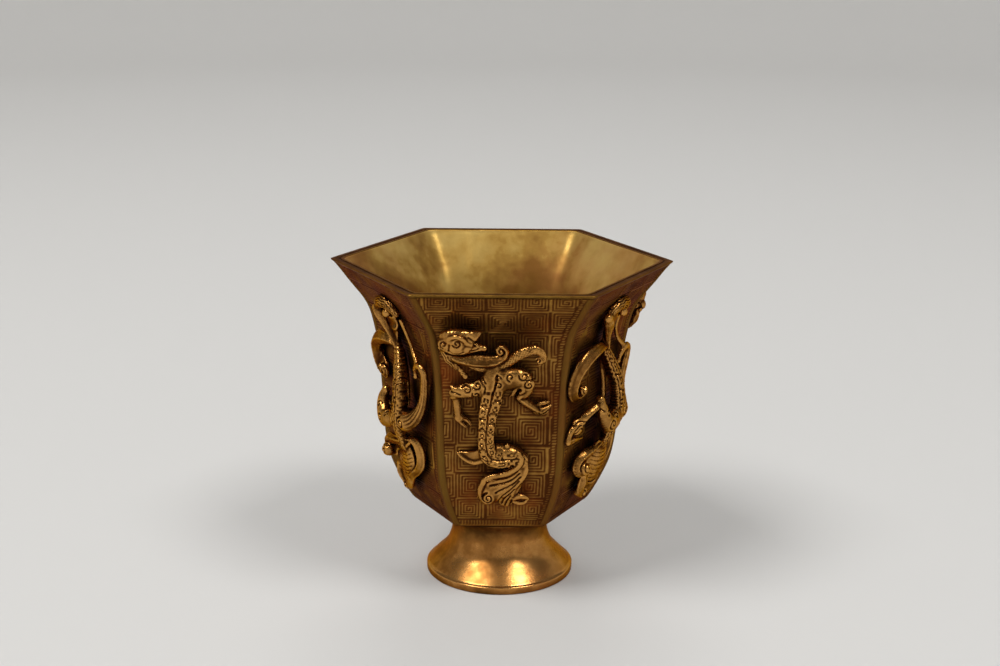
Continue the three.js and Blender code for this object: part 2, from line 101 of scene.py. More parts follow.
def smooth_line(points: Array, spacing: float) -> Array:
    """Smooth curve through points of any number of values, in even steps.

    Args:
        points: One row for each point; the first three values are its place.
        spacing: Length of a step.

    Returns:
        One row for each step's point, with the same number of values.
    """
    points = np.asarray(points, float)
    padded = np.vstack([2 * points[0] - points[1], points, 2 * points[-1] - points[-2]])
    knots = np.r_[0, np.cumsum(np.sqrt(np.linalg.norm(np.diff(padded[:, :3], axis=0), axis=1)))]
    rows = []
    for i in range(1, len(padded) - 2):
        length = np.linalg.norm(padded[i + 1, :3] - padded[i, :3])
        steps = max(2, int(math.ceil(length / spacing)))
        t = knots[i] + (knots[i + 1] - knots[i]) * np.arange(steps)[:, None] / steps
        (t0, t1, t2, t3), (p0, p1, p2, p3) = knots[i - 1:i + 3], padded[i - 1:i + 3]
        a1 = ((t1 - t) * p0 + (t - t0) * p1) / (t1 - t0)
        a2 = ((t2 - t) * p1 + (t - t1) * p2) / (t2 - t1)
        a3 = ((t3 - t) * p2 + (t - t2) * p3) / (t3 - t2)
        b1 = ((t2 - t) * a1 + (t - t0) * a2) / (t2 - t0)
        b2 = ((t3 - t) * a2 + (t - t1) * a3) / (t3 - t1)
        rows.append(((t2 - t) * b1 + (t - t1) * b2) / (t2 - t1))
    rows.append(padded[-2:-1])
    return np.vstack(rows)


def unevenness(across: Array, along: Array, size: float, seed: int) -> Array:
    """Slow random swell of a hand-worked surface, from -1 to 1.

    Args:
        across: One coordinate.
        along: The other coordinate.
        size: Typical distance between two swells.
        seed: Number that picks the swells.

    Returns:
        The swell at each place.
    """
    chance = np.random.default_rng(seed)
    total = np.zeros(np.broadcast(across, along).shape)
    waves = 7
    for _ in range(waves):
        turn, phase = chance.uniform(0, TURN, 2)
        pace = TURN / size * chance.uniform(0.5, 1.4)
        total = total + np.sin(pace * (across * math.cos(turn) + along * math.sin(turn)) + phase)
    return total / math.sqrt(waves * 2)


def make_object(name: str, points: Array, faces: list[Array], tones: dict[str, Array],
                slots: Array | None = None) -> Piece:
    """Makes a smooth mesh object from points in millimetres.

    Args:
        name: Name of the piece.
        points: One row for each point.
        faces: Arrays of point numbers, one row for each face; each array has faces of one size.
        tones: Values from 0 to 1 at each point, which the finish reads by name.
        slots: Material slot of each face, in the order of faces.

    Returns:
        The new object, at the origin.
    """
    mesh = bpy.data.meshes.new(name)
    mesh.vertices.add(len(points))
    mesh.vertices.foreach_set("co", (np.asarray(points, np.float32) * MM).ravel())
    corners = np.concatenate([part.ravel() for part in faces]).astype(np.int32)
    sizes = np.concatenate([np.full(len(part), part.shape[1]) for part in faces])
    mesh.loops.add(len(corners))
    mesh.loops.foreach_set("vertex_index", corners)
    mesh.polygons.add(len(sizes))
    mesh.polygons.foreach_set("loop_start", np.r_[0, np.cumsum(sizes)[:-1]].astype(np.int32))
    if slots is not None:
        mesh.polygons.foreach_set("material_index", slots.astype(np.int32))
    mesh.update(calc_edges=True)
    mesh.validate()
    mesh.shade_smooth()
    for tone, values in tones.items():
        layer = mesh.attributes.new(tone, "FLOAT", "POINT")
        layer.data.foreach_set("value", np.asarray(values, np.float32))
    LOG.info("%s: %d faces", name, len(mesh.polygons))
    piece = bpy.data.objects.new(name, mesh)
    bpy.context.scene.collection.objects.link(piece)
    return piece


def turns(count: int) -> Array:
    """Angles of evenly spaced points round the axis."""
    return TURN * np.arange(count) / count


def round_ring(radius: Array | float, turn: Array, z: float) -> Array:
    """Points at one height, each at its angle and distance from the axis."""
    return np.c_[radius * np.cos(turn), radius * np.sin(turn), np.full(len(turn), z)]


def out_and_across(angle: float) -> tuple[Array, Array]:
    """Level directions out of a wall and across it, from the angle that it faces."""
    normal = np.array([math.cos(angle), math.sin(angle)])
    return normal, np.array([-normal[1], normal[0]])


def sleeve(rings: Array) -> Array:
    """Four-sided faces between closed rings, from one row of point numbers for each ring."""
    after = np.roll(rings, -1, axis=1)
    return np.stack([rings[:-1], after[:-1], after[1:], rings[1:]], axis=2).reshape(-1, 4)


def zip_rings(first: Array, second: Array, points: Array) -> Array:
    """Triangles between two closed rings round the axis that have different numbers of points.

    Args:
        first: Point numbers of one ring, in rising angle from any start.
        second: Point numbers of the other ring, in rising angle from any start.
        points: All points.

    Returns:
        Rows of three point numbers.
    """
    def sorted_ring(ring: Array) -> tuple[Array, Array]:
        """Ring in rising angle, closed by its first point one turn later."""
        angle = np.arctan2(points[ring, 1], points[ring, 0])
        order = np.argsort(angle, kind="stable")
        return np.r_[ring[order], ring[order[0]]], np.r_[angle[order], angle[order[0]] + TURN]

    (a, turn_a), (b, turn_b) = sorted_ring(first), sorted_ring(second)
    i = j = 0
    rows = []
    while i < len(a) - 1 or j < len(b) - 1:
        if j == len(b) - 1 or (i < len(a) - 1 and turn_a[i + 1] <= turn_b[j + 1]):
            rows.append((a[i], a[i + 1], b[j]))
            i += 1
        else:
            rows.append((a[i], b[j + 1], b[j]))
            j += 1
    return np.array(rows)


@dataclass
class BowlProfile:
    """Outer line of the bowl, as the distance of its corners from the axis at each height."""

    rim_corner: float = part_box("cup_body")[1][0] / MM
    waist_corner: float = 30.0
    bottom_corner: float = 22.4
    height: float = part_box("cup_body")[1][2] / MM
    waist_height: float = 42.0
    bottom_height: float = 19.0
    flare_shares: Line = ((0, 0), (0.12, 0.017), (0.3, 0.055), (0.45, 0.1), (0.59, 0.178), (0.69, 0.27),
                          (0.755, 0.38), (0.815, 0.53), (0.87, 0.67), (0.94, 0.84), (1, 1))
    tuck_shares: Line = ((0, 0), (0.18, 0.04), (0.35, 0.11), (0.52, 0.24), (0.7, 0.47), (0.83, 0.67),
                         (0.96, 0.91), (1, 1))

    def corner(self, z: Array) -> Array:
        """Distance of the corners from the axis at heights z."""
        z = np.asarray(z, float)
        up = np.clip((z - self.waist_height) / (self.height - self.waist_height), 0, 1)
        down = np.clip((self.waist_height - z) / (self.waist_height - self.bottom_height), 0, 1)
        flare = smooth_table(*np.array(self.flare_shares).T, up)
        tuck = smooth_table(*np.array(self.tuck_shares).T, down)
        wide = self.waist_corner + (self.rim_corner - self.waist_corner) * flare
        return wide - (self.waist_corner - self.bottom_corner) * tuck

    def apothem(self, z: Array) -> Array:
        """Distance of the flat walls from the axis at heights z."""
        return self.corner(z) * APOTHEM_SHARE


class SpiralTurn(Enum):
    """How a cell of the key pattern is turned before it is set in its place."""

    AS_DRAWN = 0
    QUARTER = 1
    HALF = 2
    THREE_QUARTERS = 3


@dataclass
class KeyPattern:
    """Rows of square spirals in raised thread, which cover the sunk field of each wall."""

    cell_threads: int = 20
    cell_size: float = 7.4
    first_edge: float = -3.3

    @property
    def step(self) -> float:
        """Width of a thread, which is also the gap between two threads."""
        return self.cell_size / self.cell_threads

    def cell(self) -> Array:
        """One square spiral: 1 on its thread and 0 between, with a free line on two sides."""
        last = self.cell_threads - 1
        drawn = np.zeros((self.cell_threads, self.cell_threads))
        row, column, run = 1, 1, last - 1
        directions = ((0, 1), (1, 0), (0, -1), (-1, 0))
        turn = 0
        while run > 1:
            down, right = directions[turn % 4]
            for _ in range(run):
                drawn[row, column] = 1
                row, column = row + down, column + right
            drawn[row, column] = 1
            turn += 1
            if turn == 3 or (turn > 3 and turn % 2 == 1):
                run -= 2
        return drawn

    def height(self, column: Array, row: Array) -> Array:
        """Thread height at whole steps across and up the wall, from 0 to 1."""
        cell = self.cell()
        cells = {turn: np.rot90(cell, turn.value) for turn in SpiralTurn}
        over, up = column // self.cell_threads, row // self.cell_threads
        kind = (over + 2 * up) % len(SpiralTurn)
        inside = (row % self.cell_threads, column % self.cell_threads)
        return np.select([kind == turn.value for turn in SpiralTurn],
                         [cells[turn][inside] for turn in SpiralTurn])


@dataclass
class PaintedShadow:
    """Painted shadow that one dragon casts on the wall behind and below it, from 0 to 1."""

    points: Array
    step: float = 0.5
    low: tuple[float, float] = (-24.0, 14.0)
    high: tuple[float, float] = (24.0, 86.0)
    softness: int = 7
    # how far below the dragon the painted shadow falls
    drop: float = 0.8

    def __post_init__(self) -> None:
        """Marks the places behind the dragon's points, set lower by the drop as the light falls from above,
        and blurs the marks.
        """
        edges = [np.arange(a, b + self.step, self.step) for a, b in zip(self.low, self.high)]
        marks = np.histogram2d(self.points[:, 0], self.points[:, 2] - self.drop, edges)[0] > 0
        marks = marks.astype(float)
        for _ in range(self.softness):
            for axis in (0, 1):
                marks = (np.roll(marks, 1, axis) + marks + np.roll(marks, -1, axis)) / 3
        self.marks = marks

    def at(self, across: Array, up: Array) -> Array:
        """Painted shadow at places across and up the wall."""
        column = np.clip((across - self.low[0]) / self.step - 0.5, 0, self.marks.shape[0] - 1.001)
        row = np.clip((up - self.low[1]) / self.step - 0.5, 0, self.marks.shape[1] - 1.001)
        i, j = column.astype(int), row.astype(int)
        x, y = column - i, row - j
        lower = self.marks[i, j] * (1 - x) + self.marks[i + 1, j] * x
        upper = self.marks[i, j + 1] * (1 - x) + self.marks[i + 1, j + 1] * x
        return lower * (1 - y) + upper * y


@dataclass
class Bowl:
    """The hexagonal bowl: carved walls between plain corner bands, smooth inside, with a spigot below."""

    profile: BowlProfile
    # painted shadow that each kind of dragon casts on its walls
    painted_shadow: tuple[PaintedShadow, PaintedShadow]
    pattern: KeyPattern = field(default_factory=KeyPattern)
    wall: float = 2.8
    floor: float = 3.4
    band: float = 1.1
    bevel: float = 0.3
    relief: float = 0.35
    thread: float = 0.27
    tick_band: float = 1.7
    tick_height: float = 0.8
    edge_strip: float = 1.5
    edge_ticks: tuple[float, float] = (0.3, 1.1)
    sway: float = 0.09
    sway_size: float = 5.0
    dent: float = 0.04
    dent_size: float = 9.0
    kept: float = 0.75
    wear: float = 0.3
    wear_size: float = 6.0
    least_kept: float = 0.35
    corner_round: float = 0.6
    rim_corner_round: float = 1.3
    lip: float = 0.55
    lip_round: float = 0.4
    lip_bevel: Line = ((1, 0.15), (0.3, 0.02), (0, 0.4))
    base_bevel: Line = ((-0.25, 0.5), (0.1, 0.05))
    plain_tone: float = 0.7
    lip_rings: Line = ((0, 1.5), (0.03, 1.3), (0.2, 1.1), (0.2, 1.0), (0.03, 0.8), (0, 0.6),
                       (0, 0.35), (0.12, 0.1), (0.4, 0))
    lip_wear: tuple[float, ...] = (0.45, 0.4, 0.0, 0.0, 0.6, 0.8, 0.8, 1.0, 0.9)
    inner_corner_rim: float = 2.6
    inner_corner: float = 5.0
    floor_round: float = 6.0
    floor_dish: float = 0.25
    inside_from: float = 1.2
    corner_reach: float = 14.0
    inner_swell: float = 0.06
    underside_corner: float = 17.2
    underside_height: float = 16.6
    underside_bevel: tuple[float, float] = (0.5, 0.25)
    spigot_radius: float = 7.0
    spigot_length: float = 3.2
    spigot_bevel: float = 0.3
    inner_points: int = 144
    inner_levels: int = 16
    floor_levels: int = 7

    def field_rows(self) -> tuple[Array, Array]:
        """Heights of the carved rows, and the number of each row counted from the lower band's edge."""
        low = self.profile.bottom_height + self.lip
        high = self.profile.height - self.lip - self.lip_round
        z = np.linspace(low, high, 4000)
        run = np.r_[0, np.cumsum(np.hypot(np.diff(z), np.diff(self.profile.apothem(z))))]
        band = np.interp(self.profile.bottom_height + self.tick_band + self.lip, z, run)
        first = -int(band / self.pattern.step)
        last = int((run[-1] - band) / self.pattern.step)
        rows = np.arange(first, last + 1)
        return np.interp(band + rows * self.pattern.step, run, z), rows

    def side_row(self, corner: float, sunk: float, row: int | None) -> tuple[Array, ...]:
        """One wall's points at one height, from its left corner to just before its right corner.

        Args:
            corner: Distance of the bowl's corners from the axis there.
            sunk: Depth of the field below the bands.
            row: Number of the carved row, or None where the wall is plain.

        Returns:
            Places across the wall, depths below the bands, thread heights and band shares.
        """
        half = corner / 2
        most = int(self.profile.rim_corner / 2 / self.pattern.step)
        count = np.arange(-most, most + 1)
        edge = half - self.band - self.bevel
        offset = int(round(-self.pattern.first_edge / self.pattern.step))
        middle = np.clip(count * self.pattern.step, -edge, edge)
        inside = np.abs(count * self.pattern.step) < edge - self.pattern.step / 2
        if row is None:
            threads = np.zeros(len(count))
        elif row < 0:
            threads = np.where(inside & (row < -1), count % 2, 0) * self.tick_height
        else:
            threads = np.where(inside, self.pattern.height(count + offset, np.full(len(count), row)), 0)
            border = edge - count * self.pattern.step
            near, far = self.edge_ticks
            threads = np.where((border < self.edge_strip) & inside, 0, threads)
            threads = np.where((border < far) & (border > near), row % 2, threads)
        near_rim = np.clip(5 * corner / self.profile.rim_corner - 4, 0, 1)
        rounding = self.corner_round + (self.rim_corner_round - self.corner_round) * near_rim
        tangent = rounding * math.tan(SIDE_ANGLE / 2)
        cut = rounding * (1 / APOTHEM_SHARE - 1)
        across = np.r_[-half + cut / 2, -half + tangent, -half + self.band, middle,
                       half - self.band, half - tangent]
        depth = np.r_[cut * APOTHEM_SHARE, 0, 0, sunk - self.thread * threads * (sunk > 0), 0, 0]
        carved = np.r_[0, 0, 0, threads, 0, 0]
        bands = np.r_[1, 1, 1, np.where(inside, 0, 0.6), 1, 1]
        return across, depth, carved, bands

    def outer_ring(self, z: float, corner: float, sunk: float, row: int | None) -> tuple[Array, ...]:
        """All six walls' points at one height, with their thread heights, band shares and painted shadow."""
        across, depth, carved, bands = self.side_row(corner, sunk, row)
        level, is_field = np.full(len(across), z), sunk > 0
        rings, threads, painted_shadow = [], [], []
        for side in range(SIDES):
            normal, along = out_and_across(SIDE_ANGLE * (side + 0.5))
            sway = self.sway * unevenness(across, level, self.sway_size, SWAY_SEED + side) * is_field
            dent = self.dent * unevenness(across, level, self.dent_size, DENT_SEED + side) * is_field
            worn = self.wear * unevenness(across, level, self.wear_size, WEAR_SEED + side)
            kept = np.clip(self.kept + worn, self.least_kept, 1)
            out = corner * APOTHEM_SHARE - depth - dent * (carved + 1)
            out = out - self.thread * carved * (1 - kept) * is_field
            flat = out[:, None] * normal + (across + sway * (bands < 0.5))[:, None] * along
            rings.append(np.c_[flat, level])
            threads.append(carved * (0.4 + 0.6 * kept))
            # painted shadow of this wall's dragon, on the sunk field only
            painted_shadow.append(self.painted_shadow[side % 2].at(across, level) * is_field)
        return np.vstack(rings), np.concatenate(threads), np.tile(bands, SIDES), np.concatenate(painted_shadow)

    def inner_ring(self, z: float, apothem: float, rounding: float) -> Array:
        """Points of the smooth inside at one height: a hexagon with rounded corners."""
        turn = turns(self.inner_points)
        from_corner = np.abs((turn + SIDE_ANGLE / 2) % SIDE_ANGLE - SIDE_ANGLE / 2)
        rounding = min(rounding, apothem * 0.8)
        centre = (apothem - rounding) / APOTHEM_SHARE
        change = math.atan2(rounding * math.sin(SIDE_ANGLE / 2), centre + rounding * APOTHEM_SHARE)
        straight = apothem / np.cos(SIDE_ANGLE / 2 - from_corner)
        bent = centre * np.cos(from_corner) + np.sqrt(
            np.maximum(rounding ** 2 - (centre * np.sin(from_corner)) ** 2, 0))
        radius = np.where(from_corner > change, straight, bent)
        radius = radius - self.inner_swell * unevenness(turn * 24, np.full(len(turn), z), 8.0, INNER_SEED)
        return round_ring(radius, turn, z)

    def outer_rows(self) -> list[tuple[float, float, float, int | None]]:
        """Height, corner distance, field depth and row number of each ring of the outside."""
        def plain(z: float, corner_at: float, inset: float) -> tuple[float, float, float, None]:
            """A ring without carving, set in from the corners' line at some height."""
            return z, float(self.profile.corner(corner_at)) - inset, 0, None

        bottom, top = self.profile.bottom_height, self.profile.height
        lip_foot = top - self.lip - self.lip_round * 0.4
        field_rings = [(float(z), float(self.profile.corner(z)), self.relief, int(row))
                       for z, row in zip(*self.field_rows())]
        return [*(plain(bottom + up, bottom, inset) for up, inset in self.base_bevel), *field_rings,
                plain(lip_foot, lip_foot, 0),
                *(plain(top - self.lip_round * share, top, inset) for share, inset in self.lip_bevel)]

    def inner_rows(self) -> list[Triple]:
        """Height, apothem and corner rounding of each ring of the inside, from the lip to the floor."""
        top, floor = self.profile.height, self.profile.bottom_height + self.floor
        rows = []
        for drop, back in self.lip_rings:
            apothem = float(self.profile.apothem(top - drop)) - self.wall + back
            rows.append((top - drop, apothem, self.inner_corner_rim))
        for z in np.linspace(top - self.inside_from, floor + self.floor_round, self.inner_levels):
            deep = min(1.0, (top - z) / self.corner_reach)
            rounding = self.inner_corner_rim + (self.inner_corner - self.inner_corner_rim) * deep
            rows.append((float(z), float(self.profile.apothem(z)) - self.wall, rounding))
        edge = rows[-1][1]
        for turn in np.linspace(0, math.pi / 2, self.floor_levels)[1:]:
            z = floor + self.floor_round * (1 - math.sin(turn))
            rows.append((z, edge - self.floor_round * (1 - math.cos(turn)), self.inner_corner))
        for share in (0.75, 0.5, 0.25):
            z = floor - self.floor_dish * (1 - share)
            rows.append((z, rows[-1][1] * share / (share + 0.25), self.inner_corner))
        return rows

    def build(self) -> Piece:
        """Makes the bowl as one closed mesh with a slot for each of its finishes.

        Returns:
            The bowl's object, with material slots 0 carved wall, 1 lip and underside, 2 inside.
        """
        points, carved, bands, painted_shadow, rings = [], [], [], [], []

        def add_ring(ring: Array, wear: Array | float, band: Array | float,
                     shadow_here: Array | float = 0.0) -> None:
            """Adds a ring's points and remembers their numbers."""
            start = rings[-1][-1] + 1 if rings else 0
            points.append(ring)
            for tones, values in ((carved, wear), (bands, band), (painted_shadow, shadow_here)):
                tones.append(np.broadcast_to(values, len(ring)))
            rings.append(np.arange(start, start + len(ring)))

        for z, corner, sunk, row in self.outer_rows():
            ring, threads, band, shadow_here = self.outer_ring(z, corner, sunk, row)
            add_ring(ring, threads if sunk else self.plain_tone, band, shadow_here)
        outer_count = len(rings)
        for k, (z, apothem, rounding) in enumerate(self.inner_rows()):
            add_ring(self.inner_ring(z, apothem, rounding), self.lip_wear[min(k, len(self.lip_wear) - 1)], 0)
        inner_count = len(rings)
        low = self.underside_height
        inset, rise = self.underside_bevel
        for corner, z in ((self.underside_corner, low + rise), (self.underside_corner - inset, low)):
            add_ring(self.inner_ring(z, corner * APOTHEM_SHARE, self.corner_round), 0, 1)
        radius, end, bevel = self.spigot_radius, low - self.spigot_length, self.spigot_bevel
        for distance, z in ((radius, low), (radius, end + bevel), (radius - bevel, end)):
            add_ring(round_ring(distance, turns(self.inner_points), z), 0, 1)
        points.append(np.array([[0, 0, points[inner_count - 1][0, 2]], [0, 0, end]]))
        carved.append(np.zeros(2))
        bands.append(np.array([0, 1]))
        painted_shadow.append(np.zeros(2))
        joined = np.vstack(points)

        walls = sleeve(np.array(rings[:outer_count]))
        inside = sleeve(np.array(rings[outer_count:inner_count]))
        under = sleeve(np.array(rings[inner_count:][::-1]))
        lip = zip_rings(rings[outer_count - 1], rings[outer_count], joined)
        base = zip_rings(rings[0], rings[inner_count], joined)[:, ::-1]
        floor_ring, end_ring = rings[inner_count - 1], rings[-1]
        dish = np.c_[floor_ring, np.roll(floor_ring, -1), np.full(len(floor_ring), len(joined) - 2)]
        cap = np.c_[np.roll(end_ring, -1), end_ring, np.full(len(end_ring), len(joined) - 1)]
        quads = np.vstack([walls, inside, under])
        triangles = np.vstack([lip, base, dish, cap])
        lip_faces = walls.shape[0] - 4 * len(rings[0])
        lip_top = (len(self.lip_rings) - 2) * self.inner_points
        quad_slot = np.r_[np.where(np.arange(len(walls)) < lip_faces, 0, 1),
                          np.where(np.arange(len(inside)) < lip_top, 1, 2), np.ones(len(under))]
        triangle_slot = np.r_[np.ones(len(lip) + len(base)), np.full(len(dish), 2), np.ones(len(cap))]
        # the last tone is painted shadow that the dragons cast on the wall
        tones = {"carved": np.concatenate(carved), "band": np.concatenate(bands),
                 "painted_shadow": np.concatenate(painted_shadow)}
        return self.welded(joined, quads, triangles, quad_slot, triangle_slot, tones)

    def welded(self, points: Array, quads: Array, triangles: Array, quad_slot: Array,
               triangle_slot: Array, tones: dict[str, Array]) -> Piece:
        """Joins points that lie together, drops faces without area and makes the object.

        Args:
            points: All points, with the columns past a field's edge pushed together on it.
            quads: Four-sided faces.
            triangles: Three-sided faces.
            quad_slot: Material slot of each quad.
            triangle_slot: Material slot of each triangle.
            tones: Values at each point.

        Returns:
            The bowl's object.
        """
        _, first, number = np.unique(np.round(points, 4), axis=0, return_index=True, return_inverse=True)
        number = number.ravel()
        points = points[first]
        tones = {name: values[first] for name, values in tones.items()}
        quads, triangles = number[quads], number[triangles]
        same = quads == np.roll(quads, -1, axis=1)
        whole = ~same.any(axis=1)
        halves = same.sum(axis=1) == 1
        shrunk = np.array([row[~same_row] for row, same_row in zip(quads[halves], same[halves])])
        solid = (triangles != np.roll(triangles, -1, axis=1)).all(axis=1)
        parts = [quads[whole], triangles[solid]]
        slots = [quad_slot[whole], triangle_slot[solid]]
        if len(shrunk):
            proper = (shrunk != np.roll(shrunk, -1, axis=1)).all(axis=1)
            parts.append(shrunk[proper])
            slots.append(quad_slot[halves][proper])
        return make_object("hexagonal_bowl", points, parts, tones, np.concatenate(slots))


@dataclass
class Foot:
    """The hollow trumpet foot: a rounded base band, a concave neck and a flat collar under the bowl."""

    base_radius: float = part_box("foot")[1][0] / MM
    top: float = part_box("foot")[1][2] / MM
    band_height: float = 2.0
    neck_radius: float = 12.3
    neck_height: float = 12.6
    collar_radius: float = 13.6
    wall: float = 2.4
    web_height: float = 10.6
    edge_round: float = 0.45
    flare: Line = ((0.45, 1.95), (1.15, 2.75), (2.1, 3.8), (3.2, 4.9), (4.35, 6.1), (5.35, 7.5),
                   (6.1, 9.2), (6.55, 11.0))
    socket_radius: float = 7.3
    socket_depth: float = 3.2
    groove_inside: float = 9.1
    groove_outside: float = 11.3
    groove_depth: float = 1.0
    facets: int = 144
    hollow_shares: Line = ((0, 0), (0.2, 0.17), (0.68, 0.45), (1, 1))
    hollow_step: float = 0.7
    flare_step: float = 0.35
    rest_bevel: float = 0.3
    web_round: float = 0.6
    swell: float = 0.035

    def outline(self) -> Array:
        """Half section of the foot, from the axis under its web round to the axis in its socket."""
        start = (self.base_radius - self.wall, self.rest_bevel)
        end = (self.neck_radius - self.wall, self.web_height - self.web_round)
        radius, height = (first + (last - first) * shares for first, last, shares
                          in zip(start, end, np.array(self.hollow_shares).T))
        hollow = smooth_line(np.c_[radius, height, np.zeros(len(radius))], self.hollow_step)[:, :2]
        flare = [[self.base_radius - inward, height, 0] for inward, height in self.flare]
        neck = [self.neck_radius, self.neck_height, 0]
        outer = smooth_line(np.array([*flare, neck]), self.flare_step)[:, :2]
        rounding = self.edge_round
        arc = np.linspace(0, math.pi / 2, 6)
        lower = np.c_[self.base_radius - rounding * (1 - np.sin(arc)), rounding * (1 - np.cos(arc))]
        arc = np.linspace(0, 1.2, 7)
        upper = np.c_[self.base_radius - rounding * (1 - np.cos(arc)),
                      self.band_height - rounding * (1 - np.sin(arc))]
        above = [[self.neck_radius + 0.25, self.neck_height + 1.5, 0], [self.collar_radius, self.top, 0]]
        collar = smooth_line(np.array([neck, *above]), 0.5)[1:, :2]
        inner = self.top - self.groove_depth
        floor = self.top - self.socket_depth
        seat = [[self.groove_outside, self.top], [self.groove_outside, inner], [self.groove_inside, inner],
                [self.groove_inside, self.top], [self.socket_radius, self.top], [self.socket_radius, floor],
                [0, floor]]
        rest = [[start[0] + self.rest_bevel, 0]]
        return np.vstack([[[0, self.web_height]], hollow[::-1], rest, lower, upper, outer[1:], collar, seat])

    def build(self) -> Piece:
        """Turns the outline round the axis.

        Returns:
            The foot's object.
        """
        line = self.outline()
        turn = turns(self.facets)
        middle = line[1:-1]
        radius, height = middle[None, :, 0], middle[None, :, 1]
        swell = self.swell * unevenness(turn[:, None] * 18, height * 1.5, 7.0, FOOT_SEED)
        radius = radius + swell * (height > 0.6) * (radius > self.groove_outside + 0.1)
        points = np.stack([radius * np.cos(turn)[:, None], radius * np.sin(turn)[:, None],
                           np.broadcast_to(height, radius.shape)], axis=2)
        numbers = np.arange(self.facets * len(middle)).reshape(self.facets, len(middle))
        after = np.roll(numbers, -1, axis=0)
        bottom, top = numbers.size, numbers.size + 1
        web = np.c_[after[:, 0], numbers[:, 0], np.full(self.facets, bottom)]
        socket = np.c_[numbers[:, -1], after[:, -1], np.full(self.facets, top)]
        joined = np.vstack([points.reshape(-1, 3), [[0, 0, line[0, 1]], [0, 0, line[-1, 1]]]])
        radii, heights = np.hypot(joined[:, 0], joined[:, 1]), joined[:, 2]
        # The foot's tone: a painted highlight along the base band's upper edge, painted shade on the neck
        # under the bowl, and darker towards the bottom.
        level, edge_highlight, shade, bottom_darkening = 0.6, 0.5, 0.45, 0.4
        near_band = np.clip(1 - np.abs(heights - self.band_height) / 0.5, 0, 1)
        foot_light_tone = near_band * (radii > self.base_radius - 1.2)
        under_bowl = np.clip((heights - self.neck_height + 2.5) / 4, 0, 1)
        low = np.clip(1 - heights / 1.6, 0, 1)
        tones = {"foot_light_tone": np.clip(level + edge_highlight * foot_light_tone - shade * under_bowl - bottom_darkening * low, 0, 1)}
        return make_object("trumpet_foot", joined, [sleeve(numbers.T), np.vstack([web, socket])], tones)


class Chasing(Enum):
    """The fine work on a limb of a dragon."""

    PLAIN = "plain"
    BACK = "back"
    SPINE = "spine"
    PUNCHED = "punched"
    RIDGE = "ridge"
    HAIR = "hair"
    CLAW = "claw"
    STRANDS = "strands"


@dataclass(frozen=True)
class Limb:
    """A tapering limb along a smooth line of points: across, up, out and radius, in millimetres.

    A section is round when crisp is 2 and squarer above it. The fine work starts at work_from along
    the limb, and a ridge lies at a share of the radius beside its middle.
    """

    stations: tuple[tuple[float, float, float, float], ...]
    flat: float = 0.85
    chasing: Chasing = Chasing.PLAIN
    blend: float = 0.7
    crisp: float = 2.0
    work_from: float = 0.0
    ridge: float = 0.4


@dataclass(frozen=True)
class Boss:
    """A rounded knob: across, up, out, radius, and thickness as a share of the radius."""

    across: float
    up: float
    out: float
    radius: float
    flat: float = 0.8
    blend: float = 0.5


@dataclass(frozen=True)
class Spiral:
    """A carved spiral groove: its centre, outer radius, turns, hand (1 or -1) and start angle in degrees."""

    across: float
    up: float
    radius: float
    turns: float = 1.6
    hand: int = 1
    start: float = 0.0
    depth: float = 0.34
    width: float = 0.2


@dataclass(frozen=True)
class Groove:
    """A carved line through points across and up; a depth below zero raises a thread instead."""

    points: Line
    depth: float = 0.35
    width: float = 0.2


@dataclass(frozen=True)
class Post:
    """A round post from the wall to the back of a limb: across, up, reach and radius."""

    across: float
    up: float
    reach: float
    radius: float = 1.7


@dataclass
class Clay:
    """A block of voxels before one wall, in which a dragon is modelled as a distance field."""

    low: Array
    high: Array
    step: float
    values: Array = field(init=False)
    far: float = 3.0

    def __post_init__(self) -> None:
        """Fills the block with empty space."""
        shape = np.ceil((self.high - self.low) / self.step).astype(int) + 1
        self.values = np.full(shape, self.far, np.float32)

    def window(self, low: Array, high: Array) -> tuple[Part, list[Array]]:
        """Slices of the block between two corners, and the coordinates there ready to broadcast."""
        shape = np.array(self.values.shape)
        first = np.clip(np.floor((low - self.low) / self.step).astype(int), 0, shape - 1)
        last = np.clip(np.ceil((high - self.low) / self.step).astype(int) + 1, 1, shape)
        part = tuple(slice(a, b) for a, b in zip(first, last))
        axes = [self.low[i] + self.step * np.arange(part[i].start, part[i].stop) for i in range(3)]
        return part, [axes[0][:, None, None], axes[1][None, :, None], axes[2][None, None, :]]

    def join(self, part: Part, distance: Array, blend: float) -> None:
        """Adds a shape, with a soft fillet of the blend's size."""
        here = self.values[part]
        near = np.maximum(blend - np.abs(here - distance), 0) / blend
        self.values[part] = np.minimum(here, distance) - near * near * blend / 4

    def cut(self, part: Part, distance: Array) -> None:
        """Takes a shape away."""
        self.values[part] = np.maximum(self.values[part], -distance)

    def surface(self) -> tuple[Array, Array]:
        """Points and four-sided faces of the modelled surface."""
        grid = openvdb.FloatGrid(self.far)
        grid.copyFromArray(np.ascontiguousarray(self.values))
        points, quads = grid.convertToQuads(0.0)
        return points * self.step + self.low, quads


